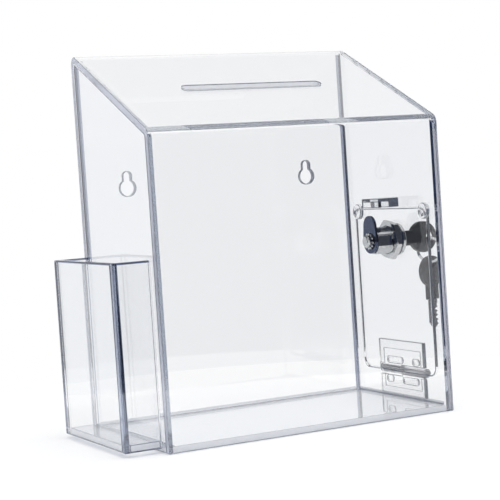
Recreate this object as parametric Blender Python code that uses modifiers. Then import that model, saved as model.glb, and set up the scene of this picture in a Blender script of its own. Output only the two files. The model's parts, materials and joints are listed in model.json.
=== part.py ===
"""Suggestion box of clear acrylic sheet, with a side pocket and a locked door.

The frame has X to the right as seen from the front, Y towards the back and Z up.
The origin is the middle of the box's underside. All lengths are in metres.
"""
import math

import bmesh
import bpy
from mathutils import Matrix, Vector

MM = 0.001

# Box shell: a sheet bent into front, slope and back, round the edges of two side panels
BOX_WIDTH = 210 * MM
BOX_DEPTH = 122 * MM
FRONT_HEIGHT = 198.5 * MM
BACK_HEIGHT = 256.8 * MM
SIDE_THICKNESS = 4 * MM
WRAP_THICKNESS = 4.5 * MM
FLOOR_THICKNESS = 4 * MM
FRONT_BEND_INNER_RADIUS = 2.5 * MM
BACK_BEND_INNER_RADIUS = 0.8 * MM
EDGE_CHAMFER = 0.35 * MM
MERGE_DISTANCE = 0.003 * MM

# Clearances and the overrun of every cut
GLUE_GAP = 0.2 * MM
SEAT_GAP = 0.3 * MM
RUNNING_GAP = 0.3 * MM
RING_PLAY = 1.6 * MM
CUT_OVERRUN = 3 * MM

# Paper slot in the slope
SLOT_LENGTH = 104 * MM
SLOT_WIDTH = 7 * MM

# Keyholes in the back, for hanging on two wall screws
KEYHOLE_SPACING = 137 * MM
KEYHOLE_HEIGHT = 163.7 * MM
KEYHOLE_ROUND_DIAMETER = 11 * MM
KEYHOLE_NECK_WIDTH = 5.5 * MM
KEYHOLE_NECK_REACH = 8.5 * MM

# Pocket on the left side panel, open at the top
POCKET_REACH = 25 * MM
POCKET_BOTTOM = 2.5 * MM
POCKET_TOP = 119 * MM
POCKET_FRONT_SETBACK = 9.8 * MM
POCKET_BACK_SETBACK = 8.5 * MM
POCKET_THICKNESS = 4.5 * MM

# Door opening in the right side panel
OPENING_MARGIN = 14.3 * MM
OPENING_BOTTOM = 21.7 * MM
OPENING_TOP = 138 * MM
OPENING_CORNER_RADIUS = 7 * MM
DOOR_GAP = 0.7 * MM

# Door stops, round buttons over the door's two upper corners
STOP_DIAMETER = 11 * MM
STOP_THICKNESS = 2.6 * MM
STOP_ROUNDING = 0.9 * MM
FRONT_STOP_INSET = 1.6 * MM
REAR_STOP_INSET = 7 * MM
STOP_DROP = 2.6 * MM

# Lock, whose axis runs straight through the door
LOCK_FORWARD_OFFSET = 2 * MM
LOCK_BELOW_OPENING_TOP = 22.5 * MM
BARREL_DIAMETER = 19 * MM
BARREL_FLATS = 16.6 * MM
BARREL_REACH = 16.7 * MM
FLANGE_DIAMETER = 23 * MM
FLANGE_THICKNESS = 2.5 * MM
FLANGE_ROUNDING = 0.9 * MM
NUT_FLATS = 25 * MM
NUT_THICKNESS = 4.5 * MM
NUT_CHAMFER_DEG = 30
NUT_TURN_DEG = 6
PLUG_DIAMETER = 12.4 * MM
PLUG_RECESS = 0.4 * MM
TENON_SIDE = 7.4 * MM
KEYWAY_HEIGHT = 8.6 * MM
KEYWAY_WIDTH = 2.6 * MM
KEYWAY_DEPTH = 20.6 * MM

# Cam on the plug's inner end, and the screw that holds it
CAM_THICKNESS = 1.8 * MM
CAM_ROOT_RADIUS = 8.6 * MM
CAM_TIP_RADIUS = 7.4 * MM
CAM_REACH = 17.8 * MM
STAR_WASHER_DIAMETER = 12 * MM
STAR_WASHER_THICKNESS = 0.8 * MM
STAR_TOOTH_DEPTH = 1.1 * MM
STAR_TOOTH_COUNT = 12
SCREW_HEAD_DIAMETER = 8.6 * MM
SCREW_HEAD_HEIGHT = 2.6 * MM
SCREW_HEAD_ROUNDING = 1 * MM
SCREW_SHANK_DIAMETER = 4 * MM
SCREW_SHANK_LENGTH = 4.8 * MM
SCREW_CROSS_WIDTH = 1.1 * MM
SCREW_CROSS_LENGTH = 4.8 * MM
SCREW_CROSS_DEPTH = 1.3 * MM

# Catch bracket above the opening, a channel that the cam turns up behind
CATCH_LENGTH = 22 * MM
CATCH_HEIGHT = 6.4 * MM
CATCH_TOP_THICKNESS = 2 * MM
CATCH_LIP_THICKNESS = 2.4 * MM
CATCH_FOOT_THICKNESS = 8 * MM
CATCH_ABOVE_OPENING = 0.6 * MM

# Hinge below the door: two moulded leaves, one knuckle each, and a pin
HINGE_LENGTH = 56 * MM
HINGE_LEAF_THICKNESS = 2 * MM
HINGE_LEAF_TOP = 43.5 * MM
HINGE_LEAF_BOTTOM = 3 * MM
HINGE_RIM_END_WIDTH = 6.6 * MM
HINGE_RIM_SIDE_WIDTH = 4.6 * MM
HINGE_RIM_HEIGHT = 0.9 * MM
KNUCKLE_RADIUS = 3.2 * MM
KNUCKLE_SINK = 0.15 * MM
PIN_DIAMETER = 3 * MM
PIN_HEAD_DIAMETER = 5 * MM
PIN_HEAD_HEIGHT = 1.4 * MM
BOSS_WIDTH = 5.2 * MM
BOSS_HEIGHT = 1.4 * MM
BOSS_GROOVE_DEPTH = 0.8 * MM
BOSS_WALL = 1.2 * MM
LONG_BOSS_LENGTH = 20 * MM
SHORT_BOSS_LENGTH = 8.6 * MM
BOSS_STANDOFF = 3.1 * MM
LONG_BOSS_OFFSET = 9.5 * MM
SHORT_BOSS_OFFSET = 17 * MM

# Keys: a flat blade moulded into a round plastic bow
KEY_BOW_RADIUS = 11 * MM
KEY_BOW_THICKNESS = 3.4 * MM
KEY_BOW_ROUNDING = 0.6 * MM
KEY_HOLE_DIAMETER = 7.4 * MM
KEY_HOLE_INSET = 5.4 * MM
KEY_NECK_LENGTH = 9 * MM
KEY_NECK_WIDTH = 10.5 * MM
KEY_BLADE_LENGTH = 20.5 * MM
KEY_BLADE_WIDTH = 7.8 * MM
KEY_BLADE_THICKNESS = 2 * MM
KEY_TANG_DEPTH = 8 * MM
KEY_TANG_WIDTH = 6 * MM
KEY_CUT_PITCH = 3 * MM
KEY_CUT_DEPTH_SHARES = (0.16, 0.30, 0.22, 0.34, 0.12)
KEY_POINT_SHARE = 0.75
KEY_TIP_SHARE = 0.25

# Ring through both bows
RING_RADIUS = 8.6 * MM
RING_WIRE_RADIUS = 1 * MM
RING_TURN_DEG = -46
SPARE_KEY_TURN_DEG = 14

# Facets of round shapes
BEND_STEPS = 7
CORNER_STEPS = 6
CIRCLE_STEPS = 32
TURNED_STEPS = 40
RING_STEPS = 40
RING_SECTION_STEPS = 10

# Values worked out from the sizes above
FRONT_BEND_OUTER_RADIUS = FRONT_BEND_INNER_RADIUS + WRAP_THICKNESS
BACK_BEND_OUTER_RADIUS = BACK_BEND_INNER_RADIUS + WRAP_THICKNESS
OPENING_WIDTH = BOX_DEPTH - 2 * OPENING_MARGIN
SLOPE_ANGLE = math.atan2(BACK_HEIGHT - FRONT_HEIGHT, BOX_DEPTH)
SIDE_OUTER_X = BOX_WIDTH / 2
SIDE_INNER_X = SIDE_OUTER_X - SIDE_THICKNESS
FRONT_Y = -BOX_DEPTH / 2
BACK_Y = BOX_DEPTH / 2
POCKET_LENGTH = BOX_DEPTH - POCKET_FRONT_SETBACK - POCKET_BACK_SETBACK
FLOOR_LENGTH = BOX_WIDTH - 2 * (SIDE_THICKNESS + GLUE_GAP)
HINGE_AXIS_X = SIDE_OUTER_X + SEAT_GAP + KNUCKLE_RADIUS - KNUCKLE_SINK
HINGE_AXIS_Z = OPENING_BOTTOM + DOOR_GAP / 2
LOCK_Y = -LOCK_FORWARD_OFFSET
LOCK_Z = OPENING_TOP - LOCK_BELOW_OPENING_TOP
FLANGE_BACK_X = SIDE_OUTER_X + SEAT_GAP
FLANGE_FACE_X = FLANGE_BACK_X + FLANGE_THICKNESS
BARREL_END_X = SIDE_INNER_X - BARREL_REACH
PLUG_FACE_X = FLANGE_FACE_X - PLUG_RECESS
CAM_OUTER_X = BARREL_END_X - SEAT_GAP
CAM_INNER_X = CAM_OUTER_X - CAM_THICKNESS
WASHER_OUTER_X = CAM_INNER_X - SEAT_GAP
WASHER_INNER_X = WASHER_OUTER_X - STAR_WASHER_THICKNESS
TENON_END_X = CAM_INNER_X
HEAD_SEAT_X = WASHER_INNER_X - SEAT_GAP
KEY_NECK_END_X = FLANGE_FACE_X + SEAT_GAP
KEY_HOLE_X = KEY_NECK_END_X + KEY_NECK_LENGTH + 2 * KEY_BOW_RADIUS - KEY_HOLE_INSET
RING_REST_DROP = KEY_HOLE_DIAMETER / 2 - RING_WIRE_RADIUS - RING_PLAY
RING_TOP_Z = LOCK_Z - RING_REST_DROP
RING_CENTRE_Z = RING_TOP_Z - RING_RADIUS
RING_BOTTOM_Z = RING_CENTRE_Z - RING_RADIUS
SPARE_HOLE_Z = RING_BOTTOM_Z - RING_REST_DROP

# Turns a plate drawn flat into one that lies across X, or across Y
ACROSS_X = Matrix(((0, 0, 1), (1, 0, 0), (0, 1, 0))).to_euler()
ACROSS_Y = Matrix(((1, 0, 0), (0, 0, -1), (0, 1, 0))).to_euler()
NO_TURN = (0, 0, 0)


def clear_scene():
    """Remove whatever the file holds."""
    for obj in list(bpy.data.objects):
        bpy.data.objects.remove(obj, do_unlink=True)


def add_collection(name):
    collection = bpy.data.collections.new(name)
    bpy.context.scene.collection.children.link(collection)
    return collection


def add_material(name, colour, roughness, metallic):
    """Return a Principled BSDF material."""
    material = bpy.data.materials.new(name)
    material.use_nodes = True
    shader = material.node_tree.nodes["Principled BSDF"]
    shader.inputs["Base Color"].default_value = (*colour, 1)
    shader.inputs["Roughness"].default_value = roughness
    shader.inputs["Metallic"].default_value = metallic
    return material


clear_scene()
PARTS = add_collection("suggestion_box")
CUTTERS = add_collection("cutters")
ACRYLIC = add_material("clear_acrylic", (0.80, 0.84, 0.90), 0.05, 0)
MOULDED = add_material("clear_moulding", (0.74, 0.77, 0.82), 0.12, 0)
CHROME = add_material("chromed_zinc", (0.62, 0.62, 0.63), 0.12, 1)
STEEL = add_material("plated_steel", (0.40, 0.41, 0.44), 0.25, 1)
BLACK = add_material("black_plastic", (0.03, 0.03, 0.03), 0.45, 0)


# Meshes and modifiers

def link_mesh(name, mesh, collection):
    obj = bpy.data.objects.new(name, mesh)
    collection.objects.link(obj)
    return obj


def as_part(obj, material):
    """Give a piece its material."""
    obj.data.materials.clear()
    obj.data.materials.append(material)
    return obj


def as_cutter(obj):
    """Hide an object that only cuts or joins another."""
    for collection in list(obj.users_collection):
        collection.objects.unlink(obj)
    CUTTERS.objects.link(obj)
    obj.hide_render = True
    obj.display_type = "WIRE"
    return obj


def flat_plate(name, outlines, thickness):
    """Extrude closed outlines, drawn in X and Y, evenly to both sides of Z = 0.

    The first outline is the edge and the others are holes in it.
    """
    curve = bpy.data.curves.new(name + "_outline", "CURVE")
    curve.dimensions = "2D"
    curve.fill_mode = "BOTH"
    curve.extrude = thickness / 2
    for outline in outlines:
        spline = curve.splines.new("POLY")
        spline.points.add(len(outline) - 1)
        for point, place in zip(spline.points, outline):
            point.co = (place[0], place[1], 0, 1)
        spline.use_cyclic_u = True
    drawing = bpy.data.objects.new(name + "_outline", curve)
    bpy.context.scene.collection.objects.link(drawing)
    graph = bpy.context.evaluated_depsgraph_get()
    mesh = bpy.data.meshes.new_from_object(drawing.evaluated_get(graph))
    bpy.data.objects.remove(drawing, do_unlink=True)
    body = bmesh.new()
    body.from_mesh(mesh)
    bmesh.ops.remove_doubles(body, verts=body.verts, dist=MERGE_DISTANCE)
    bmesh.ops.dissolve_limit(body, angle_limit=math.radians(1), verts=body.verts, edges=body.edges)
    bmesh.ops.recalc_face_normals(body, faces=body.faces)
    body.to_mesh(mesh)
    body.free()
    return link_mesh(name, mesh, PARTS)


def block(name, size):
    """Return a box centred on its origin."""
    mesh = bpy.data.meshes.new(name)
    body = bmesh.new()
    bmesh.ops.create_cube(body, size=1, matrix=Matrix.Diagonal((*size, 1)))
    body.to_mesh(mesh)
    body.free()
    return link_mesh(name, mesh, PARTS)


def rod(name, radius, length, sides=CIRCLE_STEPS):
    """Return a cylinder about Z, centred on its origin."""
    mesh = bpy.data.meshes.new(name)
    body = bmesh.new()
    bmesh.ops.create_cone(body, cap_ends=True, segments=sides, radius1=radius, radius2=radius, depth=length)
    body.to_mesh(mesh)
    body.free()
    return link_mesh(name, mesh, PARTS)


def turned(name, profile):
    """Spin a profile of (radius, height) points about Z, top to bottom on the outer side."""
    mesh = bpy.data.meshes.new(name)
    points = [(radius, 0, height) for radius, height in profile]
    edges = [(index, index + 1) for index in range(len(points) - 1)]
    mesh.from_pydata(points, edges, [])
    obj = link_mesh(name, mesh, PARTS)
    spin = obj.modifiers.new("spin", "SCREW")
    spin.axis = "Z"
    spin.angle = 2 * math.pi
    spin.steps = TURNED_STEPS
    spin.render_steps = TURNED_STEPS
    spin.use_merge_vertices = True
    spin.merge_threshold = MERGE_DISTANCE
    return apply_modifiers(obj)


def apply_modifiers(obj):
    """Replace a mesh with its evaluated shape."""
    graph = bpy.context.evaluated_depsgraph_get()
    mesh = bpy.data.meshes.new_from_object(obj.evaluated_get(graph))
    old = obj.data
    obj.modifiers.clear()
    obj.data = mesh
    mesh.name = obj.name
    bpy.data.meshes.remove(old)
    return obj


def soften(obj, width, segments=1):
    """Chamfer or round the sharp edges."""
    bevel = obj.modifiers.new("edges", "BEVEL")
    bevel.width = width
    bevel.segments = segments
    bevel.limit_method = "ANGLE"
    bevel.angle_limit = math.radians(40)
    return apply_modifiers(obj)


def combine(obj, tool, operation):
    """Cut, join or intersect a piece with a tool that stands in the same space."""
    bpy.context.view_layer.update()
    as_cutter(tool)
    boolean = obj.modifiers.new(operation.lower(), "BOOLEAN")
    boolean.operation = operation
    boolean.solver = "EXACT"
    boolean.object = tool
    return apply_modifiers(obj)


def cut(obj, tool):
    return combine(obj, tool, "DIFFERENCE")


def join(obj, tool):
    return combine(obj, tool, "UNION")


def smooth_round(obj):
    """Shade round faces smooth and keep the edges sharp."""
    obj.data.shade_smooth()
    obj.data.set_sharp_from_angle(angle=math.radians(35))
    return obj


def place(obj, location, turn=NO_TURN):
    """Put a piece at a place in the box's frame."""
    obj.rotation_euler = turn
    obj.location = location
    return obj


def add_axis(name, location, parent=None):
    """Add an empty on a joint's axis, which the moving pieces hang on."""
    axis = bpy.data.objects.new(name, None)
    PARTS.objects.link(axis)
    axis.location = location
    if parent is not None:
        bpy.context.view_layer.update()
        axis.parent = parent
        axis.location = Vector(location) - parent.matrix_world.translation
    axis.empty_display_size = KEY_BOW_RADIUS
    return axis


# Outlines

def arc(centre, radius, start, end, steps):
    """Return points on an arc, both ends included, angles in radians."""
    angles = [start + (end - start) * step / steps for step in range(steps + 1)]
    return [(centre[0] + radius * math.cos(a), centre[1] + radius * math.sin(a)) for a in angles]


def circle(radius, steps=CIRCLE_STEPS, centre=(0, 0)):
    return arc(centre, radius, 0, 2 * math.pi, steps)[:-1]


def fillet(before, corner, after, radius, steps):
    """Return the arc that rounds a corner of an outline."""
    corner = Vector(corner)
    first = (Vector(before) - corner).normalized()
    second = (Vector(after) - corner).normalized()
    half_angle = first.angle(second) / 2
    centre = corner + (first + second).normalized() * radius / math.sin(half_angle)
    start = corner + first * radius / math.tan(half_angle) - centre
    end = corner + second * radius / math.tan(half_angle) - centre
    start_angle = math.atan2(start.y, start.x)
    turn = math.atan2(start.x * end.y - start.y * end.x, start.dot(end))
    return arc(centre, radius, start_angle, start_angle + turn, steps)


def rounded(corners, radius, steps=CORNER_STEPS):
    """Round every corner of a closed outline."""
    points = []
    count = len(corners)
    for index, corner in enumerate(corners):
        points += fillet(corners[index - 1], corner, corners[(index + 1) % count], radius, steps)
    return points


def rectangle(left, right, bottom, top):
    return [(left, bottom), (right, bottom), (right, top), (left, top)]


def stadium(length, width):
    """Return a slot with round ends, along X."""
    half = (length - width) / 2
    right = arc((half, 0), width / 2, -math.pi / 2, math.pi / 2, CORNER_STEPS * 2)
    left = arc((-half, 0), width / 2, math.pi / 2, math.pi * 3 / 2, CORNER_STEPS * 2)
    return right + left


def two_flats(radius, flats):
    """Return a circle with two flats, across X."""
    half = flats / 2
    angle = math.acos(half / radius)
    upper = arc((0, 0), radius, angle, math.pi - angle, CORNER_STEPS * 2)
    lower = arc((0, 0), radius, math.pi + angle, 2 * math.pi - angle, CORNER_STEPS * 2)
    return upper + lower


def shell_side(inset):
    """Return the box's side outline in Y and Z, from front bottom over the top to back bottom."""
    drop = inset / math.cos(SLOPE_ANGLE)
    front = FRONT_Y + inset
    back = BACK_Y - inset
    front_top = FRONT_HEIGHT + inset * math.tan(SLOPE_ANGLE) - drop
    back_top = BACK_HEIGHT - inset * math.tan(SLOPE_ANGLE) - drop
    corners = [(front, 0), (front, front_top), (back, back_top), (back, 0)]
    points = [corners[0]]
    points += fillet(corners[0], corners[1], corners[2], FRONT_BEND_OUTER_RADIUS - inset, BEND_STEPS)
    points += fillet(corners[1], corners[2], corners[3], BACK_BEND_OUTER_RADIUS - inset, BEND_STEPS)
    points.append(corners[3])
    return points


def opening_outline(inset):
    """Return the door opening in Y and Z, or the door that fills it with a gap of inset."""
    half = OPENING_WIDTH / 2 - inset
    corners = rectangle(-half, half, OPENING_BOTTOM + inset, OPENING_TOP - inset)
    return rounded(corners, OPENING_CORNER_RADIUS - inset)


# Shell of the box

def keyhole_outline():
    """Return a round hole with a narrow neck above it."""
    radius = KEYHOLE_ROUND_DIAMETER / 2
    half = KEYHOLE_NECK_WIDTH / 2
    angle = math.asin(half / radius)
    low = arc((0, 0), radius, math.pi / 2 + angle, math.pi * 5 / 2 - angle, CIRCLE_STEPS - CORNER_STEPS)
    high = arc((0, KEYHOLE_NECK_REACH), half, 0, math.pi, CORNER_STEPS * 2)
    return low + high


def build_wrap():
    """Front, slope and back, one sheet bent twice, with the slot and the keyholes."""
    outline = shell_side(0) + shell_side(WRAP_THICKNESS)[::-1]
    wrap = flat_plate("body_wrap", [outline], BOX_WIDTH)
    soften(wrap, EDGE_CHAMFER)
    place(wrap, (0, 0, 0), ACROSS_X)
    slot = flat_plate("slot_cutter", [stadium(SLOT_LENGTH, SLOT_WIDTH)], WRAP_THICKNESS + CUT_OVERRUN)
    middle = (FRONT_HEIGHT + BACK_HEIGHT) / 2 - WRAP_THICKNESS / 2 / math.cos(SLOPE_ANGLE)
    place(slot, (0, 0, middle), (SLOPE_ANGLE, 0, 0))
    cut(wrap, slot)
    for side in (-1, 1):
        hole = flat_plate("keyhole_cutter", [keyhole_outline()], WRAP_THICKNESS + CUT_OVERRUN)
        x = side * KEYHOLE_SPACING / 2
        place(hole, (x, BACK_Y - WRAP_THICKNESS / 2, KEYHOLE_HEIGHT), ACROSS_Y)
        cut(wrap, hole)
    as_part(smooth_round(wrap), ACRYLIC)


def build_side_panels():
    """Left and right panels, let in flush inside the bent sheet. The right one has the door opening."""
    middle = (SIDE_OUTER_X + SIDE_INNER_X) / 2
    outline = shell_side(WRAP_THICKNESS + GLUE_GAP)
    for name, x, holes in (
        ("left_side_panel", -middle, []),
        ("right_side_panel", middle, [opening_outline(0)]),
    ):
        panel = flat_plate(name, [outline] + holes, SIDE_THICKNESS)
        soften(panel, EDGE_CHAMFER)
        place(panel, (x, 0, 0), ACROSS_X)
        as_part(smooth_round(panel), ACRYLIC)


def build_floor():
    """Floor panel, let in between the front, the back and the sides."""
    depth = BOX_DEPTH - 2 * (WRAP_THICKNESS + GLUE_GAP)
    floor = block("floor_panel", (FLOOR_LENGTH, depth, FLOOR_THICKNESS))
    soften(floor, EDGE_CHAMFER)
    place(floor, (0, 0, FLOOR_THICKNESS / 2))
    as_part(floor, ACRYLIC)


def build_pocket():
    """Pocket on the left side panel: an outer wall and a floor between two cross walls."""
    near_x = -SIDE_OUTER_X - GLUE_GAP
    far_x = -SIDE_OUTER_X - POCKET_REACH
    wall_inner_x = far_x + POCKET_THICKNESS
    middle_y = (POCKET_FRONT_SETBACK - POCKET_BACK_SETBACK) / 2
    middle_z = (POCKET_TOP + POCKET_BOTTOM) / 2
    height = POCKET_TOP - POCKET_BOTTOM
    inner_length = POCKET_LENGTH - 2 * (POCKET_THICKNESS + GLUE_GAP)
    outer = block("pocket_outer_wall", (POCKET_THICKNESS, inner_length, height))
    place(outer, ((far_x + wall_inner_x) / 2, middle_y, middle_z))
    cross_size = (near_x - far_x, POCKET_THICKNESS, height)
    cross_y = (POCKET_LENGTH - POCKET_THICKNESS) / 2
    front = block("pocket_front_wall", cross_size)
    place(front, ((near_x + far_x) / 2, middle_y - cross_y, middle_z))
    back = block("pocket_back_wall", cross_size)
    place(back, ((near_x + far_x) / 2, middle_y + cross_y, middle_z))
    floor_width = near_x - wall_inner_x - GLUE_GAP
    floor = block("pocket_floor", (floor_width, inner_length, POCKET_THICKNESS))
    place(floor, (near_x - floor_width / 2, middle_y, POCKET_BOTTOM + POCKET_THICKNESS / 2))
    for piece in (outer, front, back, floor):
        soften(piece, EDGE_CHAMFER)
        as_part(piece, ACRYLIC)


# Fittings on the right side panel

def build_door_stops():
    """Round buttons inside the panel, which the door's upper corners close against."""
    x = SIDE_INNER_X - GLUE_GAP - STOP_THICKNESS / 2
    z = OPENING_TOP - STOP_DROP
    for name, y in (
        ("door_stop_front", FRONT_STOP_INSET - OPENING_WIDTH / 2),
        ("door_stop_rear", OPENING_WIDTH / 2 - REAR_STOP_INSET),
    ):
        button = rod(name, STOP_DIAMETER / 2, STOP_THICKNESS)
        soften(button, STOP_ROUNDING, 3)
        place(button, (x, y, z), ACROSS_X)
        as_part(smooth_round(button), MOULDED)


def build_catch():
    """Channel over the opening. The cam turns up behind its lip."""
    outer_x = SIDE_INNER_X - GLUE_GAP
    inner_x = CAM_OUTER_X + RUNNING_GAP
    bottom = OPENING_TOP + CATCH_ABOVE_OPENING
    top = bottom + CATCH_HEIGHT
    under = top - CATCH_TOP_THICKNESS
    lip_x = inner_x + CATCH_LIP_THICKNESS
    foot_x = outer_x - CATCH_FOOT_THICKNESS
    outline = [
        (inner_x, bottom), (lip_x, bottom), (lip_x, under), (foot_x, under),
        (foot_x, bottom), (outer_x, bottom), (outer_x, top), (inner_x, top),
    ]
    catch = flat_plate("catch_bracket", [outline], CATCH_LENGTH)
    soften(catch, EDGE_CHAMFER)
    place(catch, (0, LOCK_Y, 0), ACROSS_Y)
    as_part(catch, MOULDED)


def hinge_leaf(name, side, bore_radius):
    """Return one moulded leaf, seen from outside: a ribbed plate with its half of the knuckle.

    side is 1 for the leaf above the pin, on the door, and -1 for the one below it.
    Each leaf carries the knuckle on the half of its own side of Y = 0.
    """
    half = HINGE_LENGTH / 2
    relief = KNUCKLE_RADIUS + RUNNING_GAP * 2
    end = HINGE_LEAF_TOP - HINGE_AXIS_Z
    if side < 0:
        end = HINGE_AXIS_Z - HINGE_LEAF_BOTTOM
    outline = [
        (side * RUNNING_GAP / 2, 0), (side * half, 0), (side * half, side * end),
        (-side * half, side * end), (-side * half, side * relief), (side * RUNNING_GAP / 2, side * relief),
    ]
    plate_x = SIDE_OUTER_X + SEAT_GAP + HINGE_LEAF_THICKNESS / 2
    leaf = flat_plate(name, [outline], HINGE_LEAF_THICKNESS)
    place(leaf, (plate_x, 0, HINGE_AXIS_Z), ACROSS_X)
    face_x = SIDE_OUTER_X + SEAT_GAP + HINGE_LEAF_THICKNESS

    side_end = half - HINGE_RIM_SIDE_WIDTH
    inner_end = end - HINGE_RIM_END_WIDTH
    rim_outline = [
        (-half, side * relief), (-half, side * end), (half, side * end), (half, side * relief),
        (side_end, side * relief), (side_end, side * inner_end), (-side_end, side * inner_end),
        (-side_end, side * relief),
    ]
    rim = flat_plate("rim", [rim_outline], 2 * HINGE_RIM_HEIGHT)
    place(rim, (face_x, 0, HINGE_AXIS_Z), ACROSS_X)
    join(leaf, rim)

    knuckle_length = half - RUNNING_GAP / 2
    knuckle_y = side * (RUNNING_GAP / 2 + knuckle_length / 2)
    knuckle = rod("knuckle", KNUCKLE_RADIUS, knuckle_length)
    place(knuckle, (HINGE_AXIS_X, knuckle_y, HINGE_AXIS_Z), (math.pi / 2, 0, 0))
    join(leaf, knuckle)

    boss_z = HINGE_AXIS_Z + side * (relief + BOSS_STANDOFF)
    for boss_y, length in (
        (side * LONG_BOSS_OFFSET, LONG_BOSS_LENGTH),
        (-side * SHORT_BOSS_OFFSET, SHORT_BOSS_LENGTH),
    ):
        boss = flat_plate("boss", [stadium(length, BOSS_WIDTH)], 2 * BOSS_HEIGHT)
        place(boss, (face_x, boss_y, boss_z), ACROSS_X)
        join(leaf, boss)
        inner = stadium(length - 2 * BOSS_WALL, BOSS_WIDTH - 2 * BOSS_WALL)
        groove = flat_plate("boss_groove", [inner], 2 * BOSS_GROOVE_DEPTH)
        place(groove, (face_x + BOSS_HEIGHT, boss_y, boss_z), ACROSS_X)
        cut(leaf, groove)

    bore = rod("pin_bore", bore_radius, HINGE_LENGTH + CUT_OVERRUN)
    place(bore, (HINGE_AXIS_X, 0, HINGE_AXIS_Z), (math.pi / 2, 0, 0))
    cut(leaf, bore)
    return as_part(smooth_round(leaf), MOULDED)


def move_origin(obj, parent):
    """Move a piece's origin to its joint's axis and hang it there."""
    bpy.context.view_layer.update()
    obj.data.transform(Matrix.Translation(-parent.matrix_world.translation) @ obj.matrix_world)
    obj.matrix_world = Matrix.Identity(4)
    obj.parent = parent


def build_hinge(door_axis):
    """Both leaves and the pin. The upper leaf turns with the door."""
    bore_radius = PIN_DIAMETER / 2 + RUNNING_GAP
    hinge_leaf("hinge_wall_leaf", -1, bore_radius)
    upper = hinge_leaf("hinge_door_leaf", 1, bore_radius)
    move_origin(upper, door_axis)
    half = HINGE_LENGTH / 2 + SEAT_GAP
    head = PIN_HEAD_DIAMETER / 2
    shank = PIN_DIAMETER / 2
    profile = [
        (0, half + PIN_HEAD_HEIGHT), (shank, half + PIN_HEAD_HEIGHT), (head, half + PIN_HEAD_HEIGHT / 2),
        (head, half), (shank, half), (shank, -half), (head, -half),
        (head, -half - PIN_HEAD_HEIGHT / 2), (shank, -half - PIN_HEAD_HEIGHT), (0, -half - PIN_HEAD_HEIGHT),
    ]
    pin = turned("hinge_pin", profile)
    place(pin, (HINGE_AXIS_X, 0, HINGE_AXIS_Z), (math.pi / 2, 0, 0))
    as_part(smooth_round(pin), STEEL)


# Door and lock

def build_door(door_axis):
    """Door panel with the two-flat hole of the lock."""
    hole = [(y + LOCK_Y, z + LOCK_Z) for y, z in two_flats(
        BARREL_DIAMETER / 2 + SEAT_GAP, BARREL_FLATS + 2 * SEAT_GAP)]
    door = flat_plate("door_panel", [opening_outline(DOOR_GAP), hole], SIDE_THICKNESS)
    soften(door, EDGE_CHAMFER)
    place(door, ((SIDE_OUTER_X + SIDE_INNER_X) / 2, 0, 0), ACROSS_X)
    move_origin(door, door_axis)
    as_part(smooth_round(door), ACRYLIC)


def lock_place(x):
    return (x, LOCK_Y, LOCK_Z)


TURNED_ALONG_X = (0, math.pi / 2, 0)


def build_barrel(door_axis):
    """Threaded barrel with two flats, a rounded flange outside and a bore for the plug."""
    bore = PLUG_DIAMETER / 2 + RUNNING_GAP
    flange = FLANGE_DIAMETER / 2
    body = BARREL_DIAMETER / 2
    face = FLANGE_FACE_X - FLANGE_BACK_X
    end = BARREL_END_X - FLANGE_BACK_X
    chamfer = FLANGE_ROUNDING / 2
    rim = arc((flange - FLANGE_ROUNDING, face - FLANGE_ROUNDING), FLANGE_ROUNDING, math.pi / 2, 0, 4)
    profile = [(bore, face)] + rim + [
        (flange, 0), (body, 0), (body, end + chamfer), (body - chamfer, end), (bore, end), (bore, face),
    ]
    barrel = turned("lock_barrel", profile)
    place(barrel, lock_place(FLANGE_BACK_X), TURNED_ALONG_X)
    depth = BARREL_DIAMETER
    for side in (-1, 1):
        flat = block("flat_cutter", (-end + CUT_OVERRUN, depth, BARREL_DIAMETER + CUT_OVERRUN))
        x = FLANGE_BACK_X + (end - CUT_OVERRUN) / 2
        y = LOCK_Y + side * (BARREL_FLATS + depth) / 2
        place(flat, (x, y, LOCK_Z))
        cut(barrel, flat)
    move_origin(barrel, door_axis)
    as_part(smooth_round(barrel), CHROME)


def build_nut(door_axis):
    """Hexagon nut inside the door, chamfered on its inner face."""
    corner = NUT_FLATS / math.sqrt(3)
    nut = rod("lock_nut", corner, NUT_THICKNESS, 6)
    x = SIDE_INNER_X - SEAT_GAP - NUT_THICKNESS / 2
    turn = Matrix.Rotation(math.radians(NUT_TURN_DEG), 3, "X") @ Matrix.Rotation(math.pi / 2, 3, "Y")
    turn = turn @ Matrix.Rotation(math.pi / 2, 3, "Z")
    place(nut, lock_place(x), turn.to_euler())
    half = NUT_THICKNESS / 2
    flat = NUT_FLATS / 2
    wide = corner + CUT_OVERRUN
    slope = math.tan(math.radians(NUT_CHAMFER_DEG))
    profile = [
        (0, half + NUT_THICKNESS), (wide, half + NUT_THICKNESS),
        (wide, -half + (wide - flat) * slope), (flat, -half), (0, -half),
    ]
    lens = turned("chamfer_tool", profile)
    place(lens, lock_place(x), TURNED_ALONG_X)
    combine(nut, lens, "INTERSECT")
    bore = rod("nut_bore", BARREL_DIAMETER / 2 + SEAT_GAP, NUT_THICKNESS + CUT_OVERRUN)
    place(bore, lock_place(x), TURNED_ALONG_X)
    cut(nut, bore)
    move_origin(nut, door_axis)
    as_part(smooth_round(nut), CHROME)


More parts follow.
